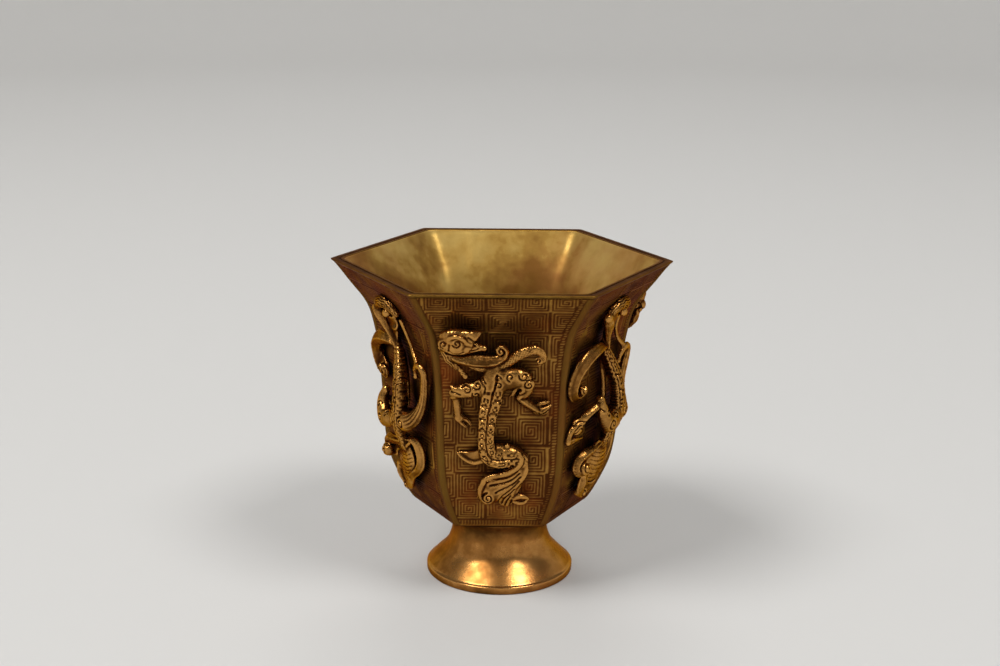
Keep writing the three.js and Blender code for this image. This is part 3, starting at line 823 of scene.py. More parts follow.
@dataclass
class Sculptor:
    """Models the limbs, knobs and carved lines of a dragon in a block of clay before the front wall."""

    profile: BowlProfile
    relief: float = 0.35
    step: float = 0.205
    sampling: float = 0.55
    margin: float = 1.0
    seat: float = 0.12
    thinnest: float = 0.15
    post_blend: float = 0.5
    away: float = 9.0
    back_repeat: float = 3.1
    spine_repeat: float = 3.9
    hatch: float = 0.72
    strand: float = 0.95
    hair: float = 0.62
    punch: tuple[float, float] = (0.85, 0.75)

    def face(self, z: Array) -> Array:
        """Distance of the wall's sunk field from the axis at heights z."""
        return self.profile.apothem(z) - self.relief

    def place(self, across: float, up: float, out: float) -> Array:
        """Point before the wall: across, distance from the axis, and height."""
        return np.array([across, float(self.face(np.array([up]))[0]) + out, up])

    def add_limb(self, clay: Clay, limb: Limb) -> None:
        """Models one limb with its chasing."""
        stations = np.array([[*self.place(u, z, w), r] for u, z, w, r in limb.stations])
        line = smooth_line(stations, self.sampling)
        centres, radii = line[:, :3], np.maximum(line[:, 3], self.thinnest)
        reach = radii.max() + self.margin
        part, _ = clay.window(centres.min(0) - reach, centres.max(0) + reach)
        shape = clay.values[part].shape
        best = np.full(shape, clay.far, np.float32)
        along, side, height = (np.zeros(shape, np.float32) for _ in range(3))
        length = np.r_[0, np.cumsum(np.linalg.norm(np.diff(centres, axis=0), axis=1))]
        for i in range(len(centres) - 1):
            start, end = centres[i], centres[i + 1]
            span = end - start
            size = float(np.linalg.norm(span))
            tangent = span / size
            outward = np.array([0.0, 1.0, 0.0]) - tangent[1] * tangent
            if np.linalg.norm(outward) < 0.2:
                outward = np.array([1.0, 0.0, 0.0]) - tangent[0] * tangent
            outward = outward / np.linalg.norm(outward)
            beside = np.cross(tangent, outward)
            reach = max(radii[i], radii[i + 1]) + self.margin
            sub, axes = clay.window(np.minimum(start, end) - reach, np.maximum(start, end) + reach)
            local = tuple(slice(s.start - p.start, s.stop - p.start) for s, p in zip(sub, part))
            gap = [axes[k] - start[k] for k in range(3)]
            t = np.clip(sum(gap[k] * tangent[k] for k in range(3)) / size, 0, 1)
            rest = [gap[k] - t * span[k] for k in range(3)]
            lateral = sum(rest[k] * beside[k] for k in range(3))
            lift = sum(rest[k] * outward[k] for k in range(3))
            ahead = sum(rest[k] * tangent[k] for k in range(3))
            radius = radii[i] + (radii[i + 1] - radii[i]) * t
            thick = radius * limb.flat
            distance = self.swollen(((lateral, radius), (lift, thick), (ahead, radius)), limb.crisp)
            closer = distance < best[local]
            best[local] = np.where(closer, distance, best[local])
            along[local] = np.where(closer, length[i] + t * size, along[local])
            side[local] = np.where(closer, lateral / radius, side[local])
            height[local] = np.where(closer, lift / thick, height[local])
        work = self.chase(limb, along, side, height, float(radii.max()), float(length[-1]))
        clay.join(part, best + work * np.clip(along - limb.work_from, 0, 1), limb.blend)

    @staticmethod
    def swollen(offsets: tuple[tuple[Array, Array | float], ...], crisp: float) -> Array:
        """Distance from a swollen block with given half sizes.

        Args:
            offsets: For each direction, the offset from the middle and the half size.
            crisp: 2 for an ellipsoid, more for a squarer block.

        Returns:
            Distance, below zero inside.
        """
        total = sum(np.abs(offset / size) ** crisp for offset, size in offsets)
        level = np.maximum(total, 1e-9) ** (1 / crisp)
        slope = np.sqrt(sum((np.abs(offset / size) ** (crisp - 1) / size) ** 2 for offset, size in offsets))
        slope = slope * level ** (1 - crisp)
        return np.where(slope > 1e-4, (level - 1) / np.maximum(slope, 1e-4), -1.0)

    def chase(self, limb: Limb, along: Array, side: Array, height: Array,
              radius: float, length: float) -> Array | float:
        """Depth of a limb's fine work at each voxel.

        Args:
            limb: The limb.
            along: Place of each voxel along the limb's line, in millimetres.
            side: Its place beside the line, as a share of the radius.
            height: Its place above the line, as a share of the thickness.
            radius: The limb's greatest radius.
            length: The limb's length.

        Returns:
            How much to take away.
        """
        chasing = limb.chasing

        def dip(distance: Array, depth: float, width: float) -> Array:
            """A rounded groove round distance zero."""
            return depth * np.exp(-(distance / width) ** 2)

        def waves(place: Array, spacing: float, phase: float = 0.0) -> Array:
            """Even waves from 0 to 1."""
            return 0.5 + 0.5 * np.cos(place * TURN / spacing + phase)

        front = np.clip(height * 2, 0, 1)
        lateral = side * radius
        if chasing is Chasing.BACK:
            ring_place, ring_radius, bar_places, bow, other_side = 0.9, 0.5, (2.0, 2.7), 0.25, 1.4
            strip = np.abs(lateral) - radius * 0.5
            beat = (along + 0.6 + other_side * (lateral > 0)) % self.back_repeat
            ring = np.hypot(strip, beat - ring_place)
            work = dip(lateral, 0.55, 0.26) + dip(ring - ring_radius, 0.4, 0.2)
            for place in bar_places:
                bar = beat - place + bow * strip ** 2
                work = work + dip(bar, 0.4, 0.19) * (np.abs(strip) < radius * 0.4)
            return work * front
        if chasing is Chasing.SPINE:
            ring_place, ring_radius, bar_places, bow = 0.9, 0.6, (2.2, 2.9, 3.5), 0.2
            middle, half_width, edge_place = -0.35, 0.95, 0.98
            beat = (along + 1.6) % self.spine_repeat
            ring = np.hypot(lateral, beat - ring_place)
            work = dip(ring - ring_radius, 0.36, 0.17) + dip(ring, 0.25, 0.18)
            for place in bar_places:
                bar = beat - bow * lateral ** 2 - place
                work = work + dip(bar, 0.34, 0.16) * (np.abs(lateral) > 0.2)
            from_middle = np.abs(lateral - middle)
            strip = from_middle < half_width
            hatch = 0.14 * np.clip(np.cos((along + 0.5 * lateral) * TURN / self.hatch), 0, 1)
            edge = dip(from_middle - edge_place, 0.26, 0.16)
            return work * strip * front + edge * front + hatch * ~strip
        if chasing is Chasing.STRANDS:
            return 0.14 * waves(lateral, self.strand, 0.5) * front
        if chasing is Chasing.HAIR:
            wave = lateral + 0.15 * np.sin(along * 3.0)
            return 0.22 * waves(wave, self.hair) * np.clip(height + 1, 0, 1)
        if chasing is Chasing.PUNCHED:
            pits = np.cos(along * TURN / self.punch[0]) * np.cos(lateral * TURN / self.punch[1])
            return 0.16 * np.clip(pits + 0.2, 0, 1) * front
        if chasing is Chasing.RIDGE:
            crest = np.abs(side - limb.ridge) * radius
            return (0.25 * np.clip(crest - 0.5, 0, 1) - 0.4 * np.exp(-crest / 0.35)) * front
        if chasing is Chasing.CLAW:
            return dip(lateral, 0.2, 0.22) * front * np.clip((length - along) / length, 0, 1)
        return 0.0

    def knob(self, clay: Clay, boss: Boss) -> tuple[Part, Array]:
        """Window round a knob, and the distance from its surface there."""
        centre = self.place(boss.across, boss.up, boss.out)
        reach = boss.radius * max(boss.flat, 1) + self.margin
        part, axes = clay.window(centre - reach, centre + reach)
        sizes = (boss.radius, boss.radius * boss.flat, boss.radius)
        gaps = tuple((axes[k] - centre[k], sizes[k]) for k in range(3))
        return part, self.swollen(gaps, 2.0)

    def add_boss(self, clay: Clay, boss: Boss) -> None:
        """Models one knob."""
        part, distance = self.knob(clay, boss)
        clay.join(part, distance, boss.blend)

    def carve_pit(self, clay: Clay, boss: Boss) -> None:
        """Hollows out the shape of a knob."""
        part, distance = self.knob(clay, boss)
        clay.cut(part, distance)

    def add_post(self, clay: Clay, post: Post) -> None:
        """Models a round post that carries a limb on the wall."""
        foot = self.place(post.across, post.up, 0)
        tall = post.reach + self.margin
        span = np.array([post.radius + self.margin, tall, post.radius + self.margin])
        part, axes = clay.window(foot - span, foot + span)
        ring = np.hypot(axes[0] - foot[0], axes[2] - foot[2]) - post.radius
        end = axes[1] - foot[1] - post.reach
        clay.join(part, np.maximum(ring, end), self.post_blend)

    def carve_spiral(self, clay: Clay, spiral: Spiral) -> None:
        """Carves a spiral groove into whatever faces out at its place."""
        reach = spiral.radius + 0.6
        part, axes = self.front_window(clay, spiral.across, spiral.up, reach)
        dx, dz = axes[0] - spiral.across, axes[2] - spiral.up
        radius = np.hypot(dx, dz)
        turn = (spiral.hand * np.arctan2(dz, dx) - math.radians(spiral.start)) / TURN % 1
        pitch = spiral.radius / spiral.turns
        arm = spiral.radius - pitch * turn
        nearest = np.full(radius.shape, self.away)
        for k in range(int(spiral.turns) + 2):
            line = arm - pitch * k
            nearest = np.minimum(nearest, np.where(line > 0.1, np.abs(radius - line), self.away))
        clay.values[part] += spiral.depth * np.exp(-(nearest / spiral.width) ** 2)

    def carve_line(self, clay: Clay, groove: Groove) -> None:
        """Carves or raises a line through its points."""
        path = np.array([[u, z, 0] for u, z in groove.points])
        path = smooth_line(path, 0.4)[:, :2] if len(path) > 2 else path[:, :2]
        low, high = path.min(0), path.max(0)
        middle, reach = (high + low) / 2, (high - low).max() / 2 + 0.8
        part, axes = self.front_window(clay, middle[0], middle[1], reach)
        nearest = np.full(np.broadcast(axes[0], axes[2]).shape, self.away)
        for start, end in zip(path[:-1], path[1:]):
            span = end - start
            dx, dz = axes[0] - start[0], axes[2] - start[1]
            t = np.clip((dx * span[0] + dz * span[1]) / max(span @ span, 1e-9), 0, 1)
            nearest = np.minimum(nearest, np.hypot(dx - t * span[0], dz - t * span[1]))
        clay.values[part] += groove.depth * np.exp(-(nearest / groove.width) ** 2)

    def front_window(self, clay: Clay, across: float, up: float, reach: float
                     ) -> tuple[Part, list[Array]]:
        """Window round a place of the wall that runs from the wall to the block's front."""
        low = np.array([across - reach, clay.low[1], up - reach])
        high = np.array([across + reach, clay.high[1], up + reach])
        return clay.window(low, high)

    def seat_on_wall(self, clay: Clay) -> None:
        """Cuts away all that would lie in the wall."""
        part, axes = clay.window(clay.low, clay.high)
        wall = self.profile.apothem(axes[2].ravel())[None, None, :] + self.seat
        clay.cut(part, axes[1] - wall)


class DragonKind(Enum):
    """The two patterns that take turns round the bowl."""

    CLIMBING = "climbing"
    CRESTED = "crested"


@dataclass
class Dragon:
    """One dragon pattern: what its body is made of and what is carved on it."""

    kind: DragonKind
    limbs: tuple[Limb, ...]
    bosses: tuple[Boss, ...] = ()
    posts: tuple[Post, ...] = ()
    room: float = 3.6
    pits: tuple[Boss, ...] = ()
    beads: tuple[Boss, ...] = ()
    spirals: tuple[Spiral, ...] = ()
    grooves: tuple[Groove, ...] = ()

    def model(self, sculptor: Sculptor) -> Model:
        """Models the dragon before the front wall.

        Returns:
            Points as across, distance from the axis and height; faces; and a tone for each point: patina in
            hollows, with painted shade near the wall and on faces turned away.
        """
        places = np.array([sculptor.place(*station[:3]) for limb in self.limbs for station in limb.stations])
        clay = Clay(places.min(0) - self.room, places.max(0) + self.room, sculptor.step)
        for shapes, work in ((self.posts, sculptor.add_post), (self.limbs, sculptor.add_limb),
                             (self.bosses, sculptor.add_boss), (self.pits, sculptor.carve_pit),
                             (self.beads, sculptor.add_boss), (self.spirals, sculptor.carve_spiral),
                             (self.grooves, sculptor.carve_line)):
            for shape in shapes:
                work(clay, shape)
        sculptor.seat_on_wall(clay)
        points, quads = clay.surface()
        off_wall = points[:, 1] - sculptor.face(points[:, 2])
        return points, quads, patina_and_shade_tone(points, quads, off_wall)

    def place(self, name: str, node: str, turn: float, model: Model
              ) -> Piece:
        """Sets a copy of the model before one wall.

        Args:
            name: Name of the piece.
            node: The solid that it stands for.
            turn: Angle of the wall from the front wall.
            model: What model() returned.

        Returns:
            The dragon's object.
        """
        points, quads, hollow = model
        normal, along = out_and_across(turn - math.pi / 2)
        flat = points[:, 1:2] * normal + points[:, 0:1] * along
        # the hollow tone holds patina in hollows and painted shade near the wall and on faces turned away
        piece = make_object(name, np.c_[flat, points[:, 2]], [quads], {"hollow": hollow})
        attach(piece, "root")
        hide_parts(node)
        return piece


def patina_and_shade_tone(points: Array, quads: Array, off_wall: Array) -> Array:
    """Tone of each point of a dragon: patina in its hollows, and painted shade near the wall and on faces
    turned down or sideways.

    Args:
        points: One row for each point.
        quads: Four-sided faces.
        off_wall: Distance of each point from the wall.

    Returns:
        A tone from 0 on sharp ridges to 1 in grooves, where patina lies, and on faces turned away and beside
        the wall, where it is painted shade.
    """
    level, full_bulge, turned_shade_share, wall_shade_share, wall_shade_reach, rounds = 0.45, 0.0265, 0.32, 0.4, 3.0, 3

    def gathered(values: Array) -> Array:
        """Sum of a value over the neighbours of each point, face by face."""
        total = np.zeros(values.shape)
        for k in range(4):
            for step in (1, 3):
                np.add.at(total, quads[:, k], values[quads[:, (k + step) % 4]])
        return total

    normal = np.cross(points[quads[:, 2]] - points[quads[:, 0]], points[quads[:, 3]] - points[quads[:, 1]])
    normals = np.zeros(points.shape)
    for k in range(4):
        np.add.at(normals, quads[:, k], normal)
    normals /= np.maximum(np.linalg.norm(normals, axis=1, keepdims=True), 1e-9)
    shared = np.maximum(gathered(np.ones(len(points))), 1)
    bulge = ((gathered(points) / shared[:, None] - points) * normals).sum(1)
    for _ in range(rounds):
        bulge = 0.5 * bulge + 0.5 * gathered(bulge) / shared
    # painted shade: faces turned down or sideways from the front come out darker
    turned_shade = 1 - np.clip(1.6 * normals[:, 1] + 0.5 * np.clip(normals[:, 2], 0, 1), 0, 1)
    # painted shade: points close to the wall come out darker
    low = np.clip(1 - off_wall / wall_shade_reach, 0, 1)
    return np.clip(level + bulge / full_bulge + turned_shade_share * turned_shade + wall_shade_share * low, 0, 1)


def climbing_dragon() -> Dragon:
    """The dragon that climbs with its head at the upper left and its tail spread below."""
    body = (
        Limb(((-1.7, 62.8, 4.2, 1.8), (-1.9, 60.2, 4.5, 2.4), (-2.0, 57.6, 4.7, 2.6),
             (-2.3, 55.2, 4.8, 2.5), (-2.9, 52.6, 4.8, 2.25), (-3.2, 49.6, 4.8, 2.05),
             (-3.4, 46.6, 4.7, 1.95), (-3.3, 43.6, 4.4, 2.0), (-2.5, 41.2, 4.0, 2.1),
             (-0.8, 40.3, 3.6, 2.2), (1.4, 40.3, 3.1, 2.3), (3.6, 40.3, 2.8, 1.9),
             (5.2, 39.4, 2.7, 1.2)), 0.82, Chasing.BACK, crisp=3.0, work_from=4.6),
        Limb(((-0.6, 42.0, 3.0, 1.9), (1.8, 41.6, 2.7, 2.1), (3.9, 40.6, 2.5, 1.9),
             (5.2, 39.2, 2.4, 1.4)), 0.9),
    )
    head = (
        Limb(((-12.6, 71.3, 3.7, 1.7), (-11.2, 71.7, 4.2, 2.05), (-9.2, 71.6, 4.4, 2.1),
             (-7.6, 71.6, 4.1, 1.75), (-6.3, 72.0, 3.6, 1.15), (-5.1, 72.5, 3.2, 0.45)),
             0.85, crisp=2.7),
        Limb(((-12.4, 69.2, 4.2, 1.7), (-10.6, 69.0, 4.8, 1.9), (-8.4, 69.0, 4.9, 1.7),
             (-6.7, 69.0, 4.7, 1.25), (-5.0, 68.8, 4.5, 0.95), (-3.9, 68.7, 4.4, 0.65)), 0.95),
        Limb(((-12.5, 70.6, 5.0, 0.4), (-11.7, 71.9, 5.9, 0.5), (-10.2, 72.3, 6.3, 0.55),
             (-8.8, 71.6, 6.5, 0.55), (-7.9, 70.4, 6.2, 0.45), (-6.9, 69.9, 5.8, 0.4)),
             0.9, blend=0.3),
        Limb(((-12.0, 69.6, 5.6, 0.3), (-11.0, 69.0, 6.2, 0.35), (-9.6, 69.1, 6.4, 0.35),
             (-8.8, 69.9, 6.3, 0.3)), 0.9, blend=0.3),
        Limb(((-13.4, 68.2, 3.8, 1.0), (-12.4, 66.4, 4.2, 1.3), (-11.2, 64.8, 4.3, 1.15),
             (-10.5, 63.6, 4.1, 0.7)), 0.85, Chasing.HAIR),
    )
    locks = (
        Limb(((-11.6, 66.9, 4.3, 1.2), (-9.4, 66.3, 4.9, 1.6), (-6.6, 65.7, 5.2, 1.65),
             (-3.2, 65.5, 5.3, 1.5), (-0.8, 65.9, 5.3, 1.2), (0.7, 67.0, 5.2, 0.95),
             (0.9, 68.3, 5.1, 0.85), (0.0, 69.1, 5.0, 0.75), (-0.8, 68.5, 4.9, 0.65),
             (-0.5, 67.7, 4.9, 0.5)), 0.75, Chasing.RIDGE, 0.4, ridge=-0.42),
        Limb(((-7.2, 64.1, 3.5, 0.9), (-4.6, 63.4, 3.9, 1.0), (-2.0, 63.5, 4.2, 1.1),
             (0.6, 64.6, 4.4, 1.2), (3.0, 66.3, 4.5, 1.3), (5.6, 67.9, 4.5, 1.35),
             (8.0, 68.4, 4.4, 1.15), (9.5, 67.4, 4.3, 0.95), (9.8, 65.8, 4.2, 0.8),
             (8.9, 64.8, 4.1, 0.65)), 0.8, Chasing.PUNCHED, 0.4),
        Limb(((-10.5, 64.2, 3.6, 0.55), (-9.3, 62.7, 4.1, 0.62), (-8.3, 61.4, 4.4, 0.66)),
             1.0, Chasing.PUNCHED, 0.3),
    )
    arms = (
        Limb(((-3.8, 59.6, 4.3, 1.9), (-1.4, 60.6, 4.5, 2.1), (1.0, 60.4, 4.6, 2.3),
             (3.2, 60.8, 4.6, 2.1)), 0.8, blend=1.4),
        Limb(((-2.4, 60.0, 4.2, 1.8), (-5.2, 58.5, 4.4, 2.1), (-8.2, 57.8, 4.2, 1.85),
             (-10.4, 57.2, 3.8, 1.4), (-11.3, 57.0, 3.5, 1.0)), 0.85),
        Limb(((-10.9, 58.0, 3.9, 0.6), (-11.7, 58.6, 3.6, 0.3)), 0.9, blend=0.4),
        Limb(((-10.9, 56.2, 3.8, 0.6), (-11.8, 55.7, 3.4, 0.3)), 0.9, blend=0.4),
        Limb(((-10.7, 56.2, 3.2, 1.0), (-10.4, 54.0, 2.7, 0.95), (-10.2, 51.6, 2.0, 0.95),
             (-9.9, 49.9, 1.5, 0.9)), 0.85),
        Limb(((-10.4, 49.9, 1.6, 0.6), (-9.5, 48.7, 1.4, 0.5), (-8.2, 47.2, 0.9, 0.28)), 0.9),
        Limb(((-9.2, 50.1, 1.5, 0.6), (-8.0, 49.3, 1.3, 0.5), (-7.0, 47.7, 0.8, 0.28)), 0.9),
        Limb(((-0.8, 60.8, 4.3, 2.0), (1.6, 61.4, 4.6, 2.2), (4.2, 61.5, 4.7, 2.2),
             (5.8, 60.2, 4.4, 2.0), (6.1, 58.5, 4.1, 1.7), (5.6, 57.2, 3.8, 1.35)), 0.85),
        Limb(((5.4, 57.3, 3.8, 1.3), (4.4, 56.0, 3.6, 1.25), (5.6, 54.7, 3.4, 1.15),
             (7.2, 53.4, 2.9, 1.05), (8.7, 52.3, 2.4, 1.0)), 0.9, Chasing.RIDGE, 0.5, ridge=0.1),
        Limb(((8.2, 52.2, 2.4, 1.0), (9.6, 52.2, 2.1, 0.85), (10.9, 52.6, 1.6, 0.55),
             (11.9, 53.2, 1.2, 0.28)), 0.9, Chasing.CLAW, 0.4),
        Limb(((8.5, 52.8, 2.1, 0.8), (9.2, 53.7, 1.8, 0.7), (10.5, 53.9, 1.4, 0.5),
             (11.5, 54.1, 1.0, 0.28)), 0.9, blend=0.4),
        Limb(((8.7, 51.7, 2.0, 0.7), (10.2, 51.3, 1.5, 0.55), (11.3, 51.6, 1.1, 0.28)),
             0.9, blend=0.4),
        Limb(((1.9, 56.4, 4.3, 0.25), (2.7, 57.1, 4.7, 0.5), (3.2, 58.2, 5.1, 0.55),
             (3.9, 59.2, 5.4, 0.5), (4.9, 59.2, 5.6, 0.5), (5.3, 58.2, 5.4, 0.45),
             (4.6, 57.5, 5.1, 0.4)), 0.9, blend=0.3),
    )
    tail = (
        Limb(((-3.4, 41.6, 3.4, 1.6), (-5.8, 40.4, 2.1, 1.3), (-8.0, 40.2, 1.1, 0.9),
             (-9.6, 40.6, 0.7, 0.45)), 0.5),
        Limb(((-3.2, 40.0, 3.6, 0.7), (-5.2, 38.9, 2.6, 0.6), (-6.4, 38.5, 2.1, 0.55),
             (-7.9, 38.9, 1.6, 0.5), (-9.4, 39.8, 1.1, 0.45), (-10.3, 40.6, 0.8, 0.28)),
             0.9, blend=0.4),
        Limb(((5.2, 39.8, 2.6, 1.3), (4.6, 37.4, 2.6, 1.9), (2.8, 35.0, 2.5, 2.6),
             (0.4, 32.9, 2.3, 3.0), (-2.0, 31.2, 2.2, 3.1), (-3.1, 29.6, 2.0, 2.7)), 0.42),
        Limb(((4.9, 36.0, 2.1, 1.4), (3.2, 32.8, 2.0, 2.0), (1.8, 30.0, 1.8, 2.2),
             (1.4, 27.6, 1.5, 1.7)), 0.42),
        Limb(((4.4, 41.8, 3.9, 0.35), (5.1, 40.0, 4.1, 0.55), (4.3, 38.3, 4.1, 0.6),
             (2.8, 37.1, 4.0, 0.6), (0.8, 36.2, 3.8, 0.65), (-1.6, 35.6, 3.7, 0.7),
             (-3.3, 34.8, 3.5, 0.75), (-4.5, 33.2, 3.3, 0.8), (-5.0, 31.2, 3.0, 0.8),
             (-4.6, 29.0, 2.7, 0.7), (-3.4, 27.7, 2.5, 0.6)), 0.95, blend=0.5),
        Limb(((6.1, 38.6, 2.8, 0.5), (6.2, 36.9, 2.9, 0.65), (5.3, 34.9, 2.9, 0.65),
             (4.0, 33.3, 2.9, 0.6), (3.0, 31.8, 2.8, 0.6), (2.7, 30.2, 2.6, 0.55)), 0.95, blend=0.5),
        Limb(((3.2, 28.8, 2.3, 0.6), (4.6, 29.6, 2.4, 0.7), (6.1, 29.3, 2.3, 0.55),
             (6.9, 28.7, 2.0, 0.3)), 0.95, blend=0.4),
        Limb(((3.4, 27.9, 2.1, 0.5), (4.8, 27.5, 2.2, 0.6), (6.1, 27.8, 2.1, 0.45),
             (6.7, 28.5, 1.9, 0.25)), 0.95, blend=0.4),
    )
    return Dragon(
        kind=DragonKind.CLIMBING,
        limbs=body + head + locks + arms + tail,
        bosses=(
            Boss(-10.3, 70.5, 5.9, 1.35, 0.6, 0.3), Boss(-13.4, 69.9, 4.7, 1.35, 0.9, 0.3),
            Boss(-14.2, 68.8, 4.2, 0.55, 0.9, 0.2), Boss(-8.0, 69.2, 5.7, 1.2, 0.9, 0.3),
            Boss(-10.9, 68.5, 5.2, 1.5, 0.8, 0.4), Boss(-6.1, 69.5, 5.0, 0.85, 0.85, 0.3),
            Boss(-4.0, 68.7, 4.5, 0.7, 0.9, 0.2), Boss(-0.1, 68.1, 5.3, 1.0, 0.7, 0.3),
            Boss(8.8, 65.6, 4.5, 1.0, 0.8, 0.2), Boss(6.6, 59.7, 4.8, 1.3, 0.8, 0.4),
            Boss(-2.9, 29.4, 3.0, 1.7, 0.8, 0.3), Boss(-2.4, 30.7, 2.6, 2.0, 0.6, 0.5),
            Boss(1.6, 43.5, 3.6, 0.65, 0.9, 0.3),
        ),
        posts=(Post(-1.8, 60.3, 3.8), Post(-0.3, 40.6, 3.2), Post(-9.5, 70.3, 3.6, 1.3),
               Post(-2.2, 30.5, 2.0, 1.2)),
        spirals=(
            Spiral(-10.3, 70.5, 1.1, 1.4, 1, 200, 0.42, 0.19),
            Spiral(-13.4, 69.9, 1.0, 1.3, -1, 90, 0.38, 0.19),
            Spiral(2.2, 61.8, 1.0, 1.2, -1, 90, 0.36), Spiral(5.4, 62.0, 1.2, 1.3, 1, 160, 0.4, 0.22),
            Spiral(-0.8, 61.4, 0.8, 1.2, 1, 0, 0.32), Spiral(-0.5, 59.7, 0.85, 1.2, -1, 180, 0.32),
            Spiral(6.6, 59.7, 1.2, 1.4, 1, 90, 0.36), Spiral(-8.0, 58.3, 1.2, 1.4, -1, 200, 0.38),
            Spiral(-5.6, 59.5, 1.05, 1.3, 1, 200, 0.36), Spiral(-5.8, 57.2, 1.0, 1.3, 1, 150, 0.36),
            Spiral(-0.1, 68.1, 0.95, 1.2, 1, 270, 0.42), Spiral(8.8, 65.6, 0.95, 1.2, -1, 60, 0.42),
            Spiral(-2.9, 29.4, 1.5, 1.7, 1, 90, 0.44, 0.22),
        ),
        grooves=(
            Groove(((-12.9, 67.6), (-11.2, 67.3), (-9.0, 67.2), (-7.6, 67.4), (-6.4, 67.7),
                   (-4.6, 68.0)), 0.5, 0.24),
            Groove(((-7.6, 71.9), (-6.6, 71.0), (-6.0, 70.4)), 0.34, 0.22),
            Groove(((-12.2, 68.6), (-11.2, 67.9), (-9.8, 67.8), (-8.8, 68.3)), 0.22, 0.16),
            Groove(((-7.2, 68.6), (-6.2, 68.5), (-5.2, 68.9)), 0.28, 0.16),
            Groove(((-6.1, 69.7), (-6.0, 69.5)), 0.5, 0.26),
            Groove(((-12.1, 69.9), (-12.3, 68.4)), 0.34, 0.2),
            Groove(((8.0, 61.2), (6.9, 60.9), (5.9, 61.0)), 0.34, 0.18),
            Groove(((-11.6, 57.4), (-10.4, 57.3), (-9.6, 57.0)), 0.32, 0.2),
            Groove(((-5.1, 61.5), (-4.5, 60.2), (-3.7, 59.2), (-3.9, 57.6)), 0.34, 0.2),
            Groove(((-0.9, 62.2), (-1.1, 60.4), (-1.5, 58.6), (-1.9, 57.4)), 0.55, 0.24),
            Groove(((-4.3, 61.3), (-3.6, 60.3)), 0.3, 0.18),
            Groove(((9.0, 53.2), (9.3, 52.5), (9.2, 51.7)), 0.3, 0.18),
            Groove(((4.2, 37.0), (2.6, 35.6), (0.4, 34.8), (-1.6, 34.5), (-3.2, 34.1)), 0.4, 0.22),
            Groove(((4.6, 36.2), (3.0, 34.7), (1.0, 33.7), (-0.8, 33.2), (-2.4, 32.8)), 0.4, 0.22),
            Groove(((4.9, 35.3), (3.4, 33.7), (1.6, 32.5), (0.2, 31.8), (-1.0, 31.0)), 0.4, 0.22),
            Groove(((4.6, 34.2), (3.2, 32.5), (1.8, 31.1), (0.6, 30.0), (-0.2, 28.6)), 0.4, 0.22),
            Groove(((3.4, 31.8), (2.2, 30.2), (1.0, 28.8), (0.4, 27.2)), 0.4, 0.22),
            Groove(((2.6, 29.9), (1.9, 28.6), (1.4, 27.3), (1.2, 26.4)), 0.4, 0.2),
            Groove(((2.9, 28.6), (2.6, 27.5), (2.3, 26.5)), 0.34, 0.2),
            Groove(((-4.9, 34.0), (-5.5, 32.4), (-5.6, 30.4), (-5.0, 28.4)), 0.3, 0.3),
        ),
    )


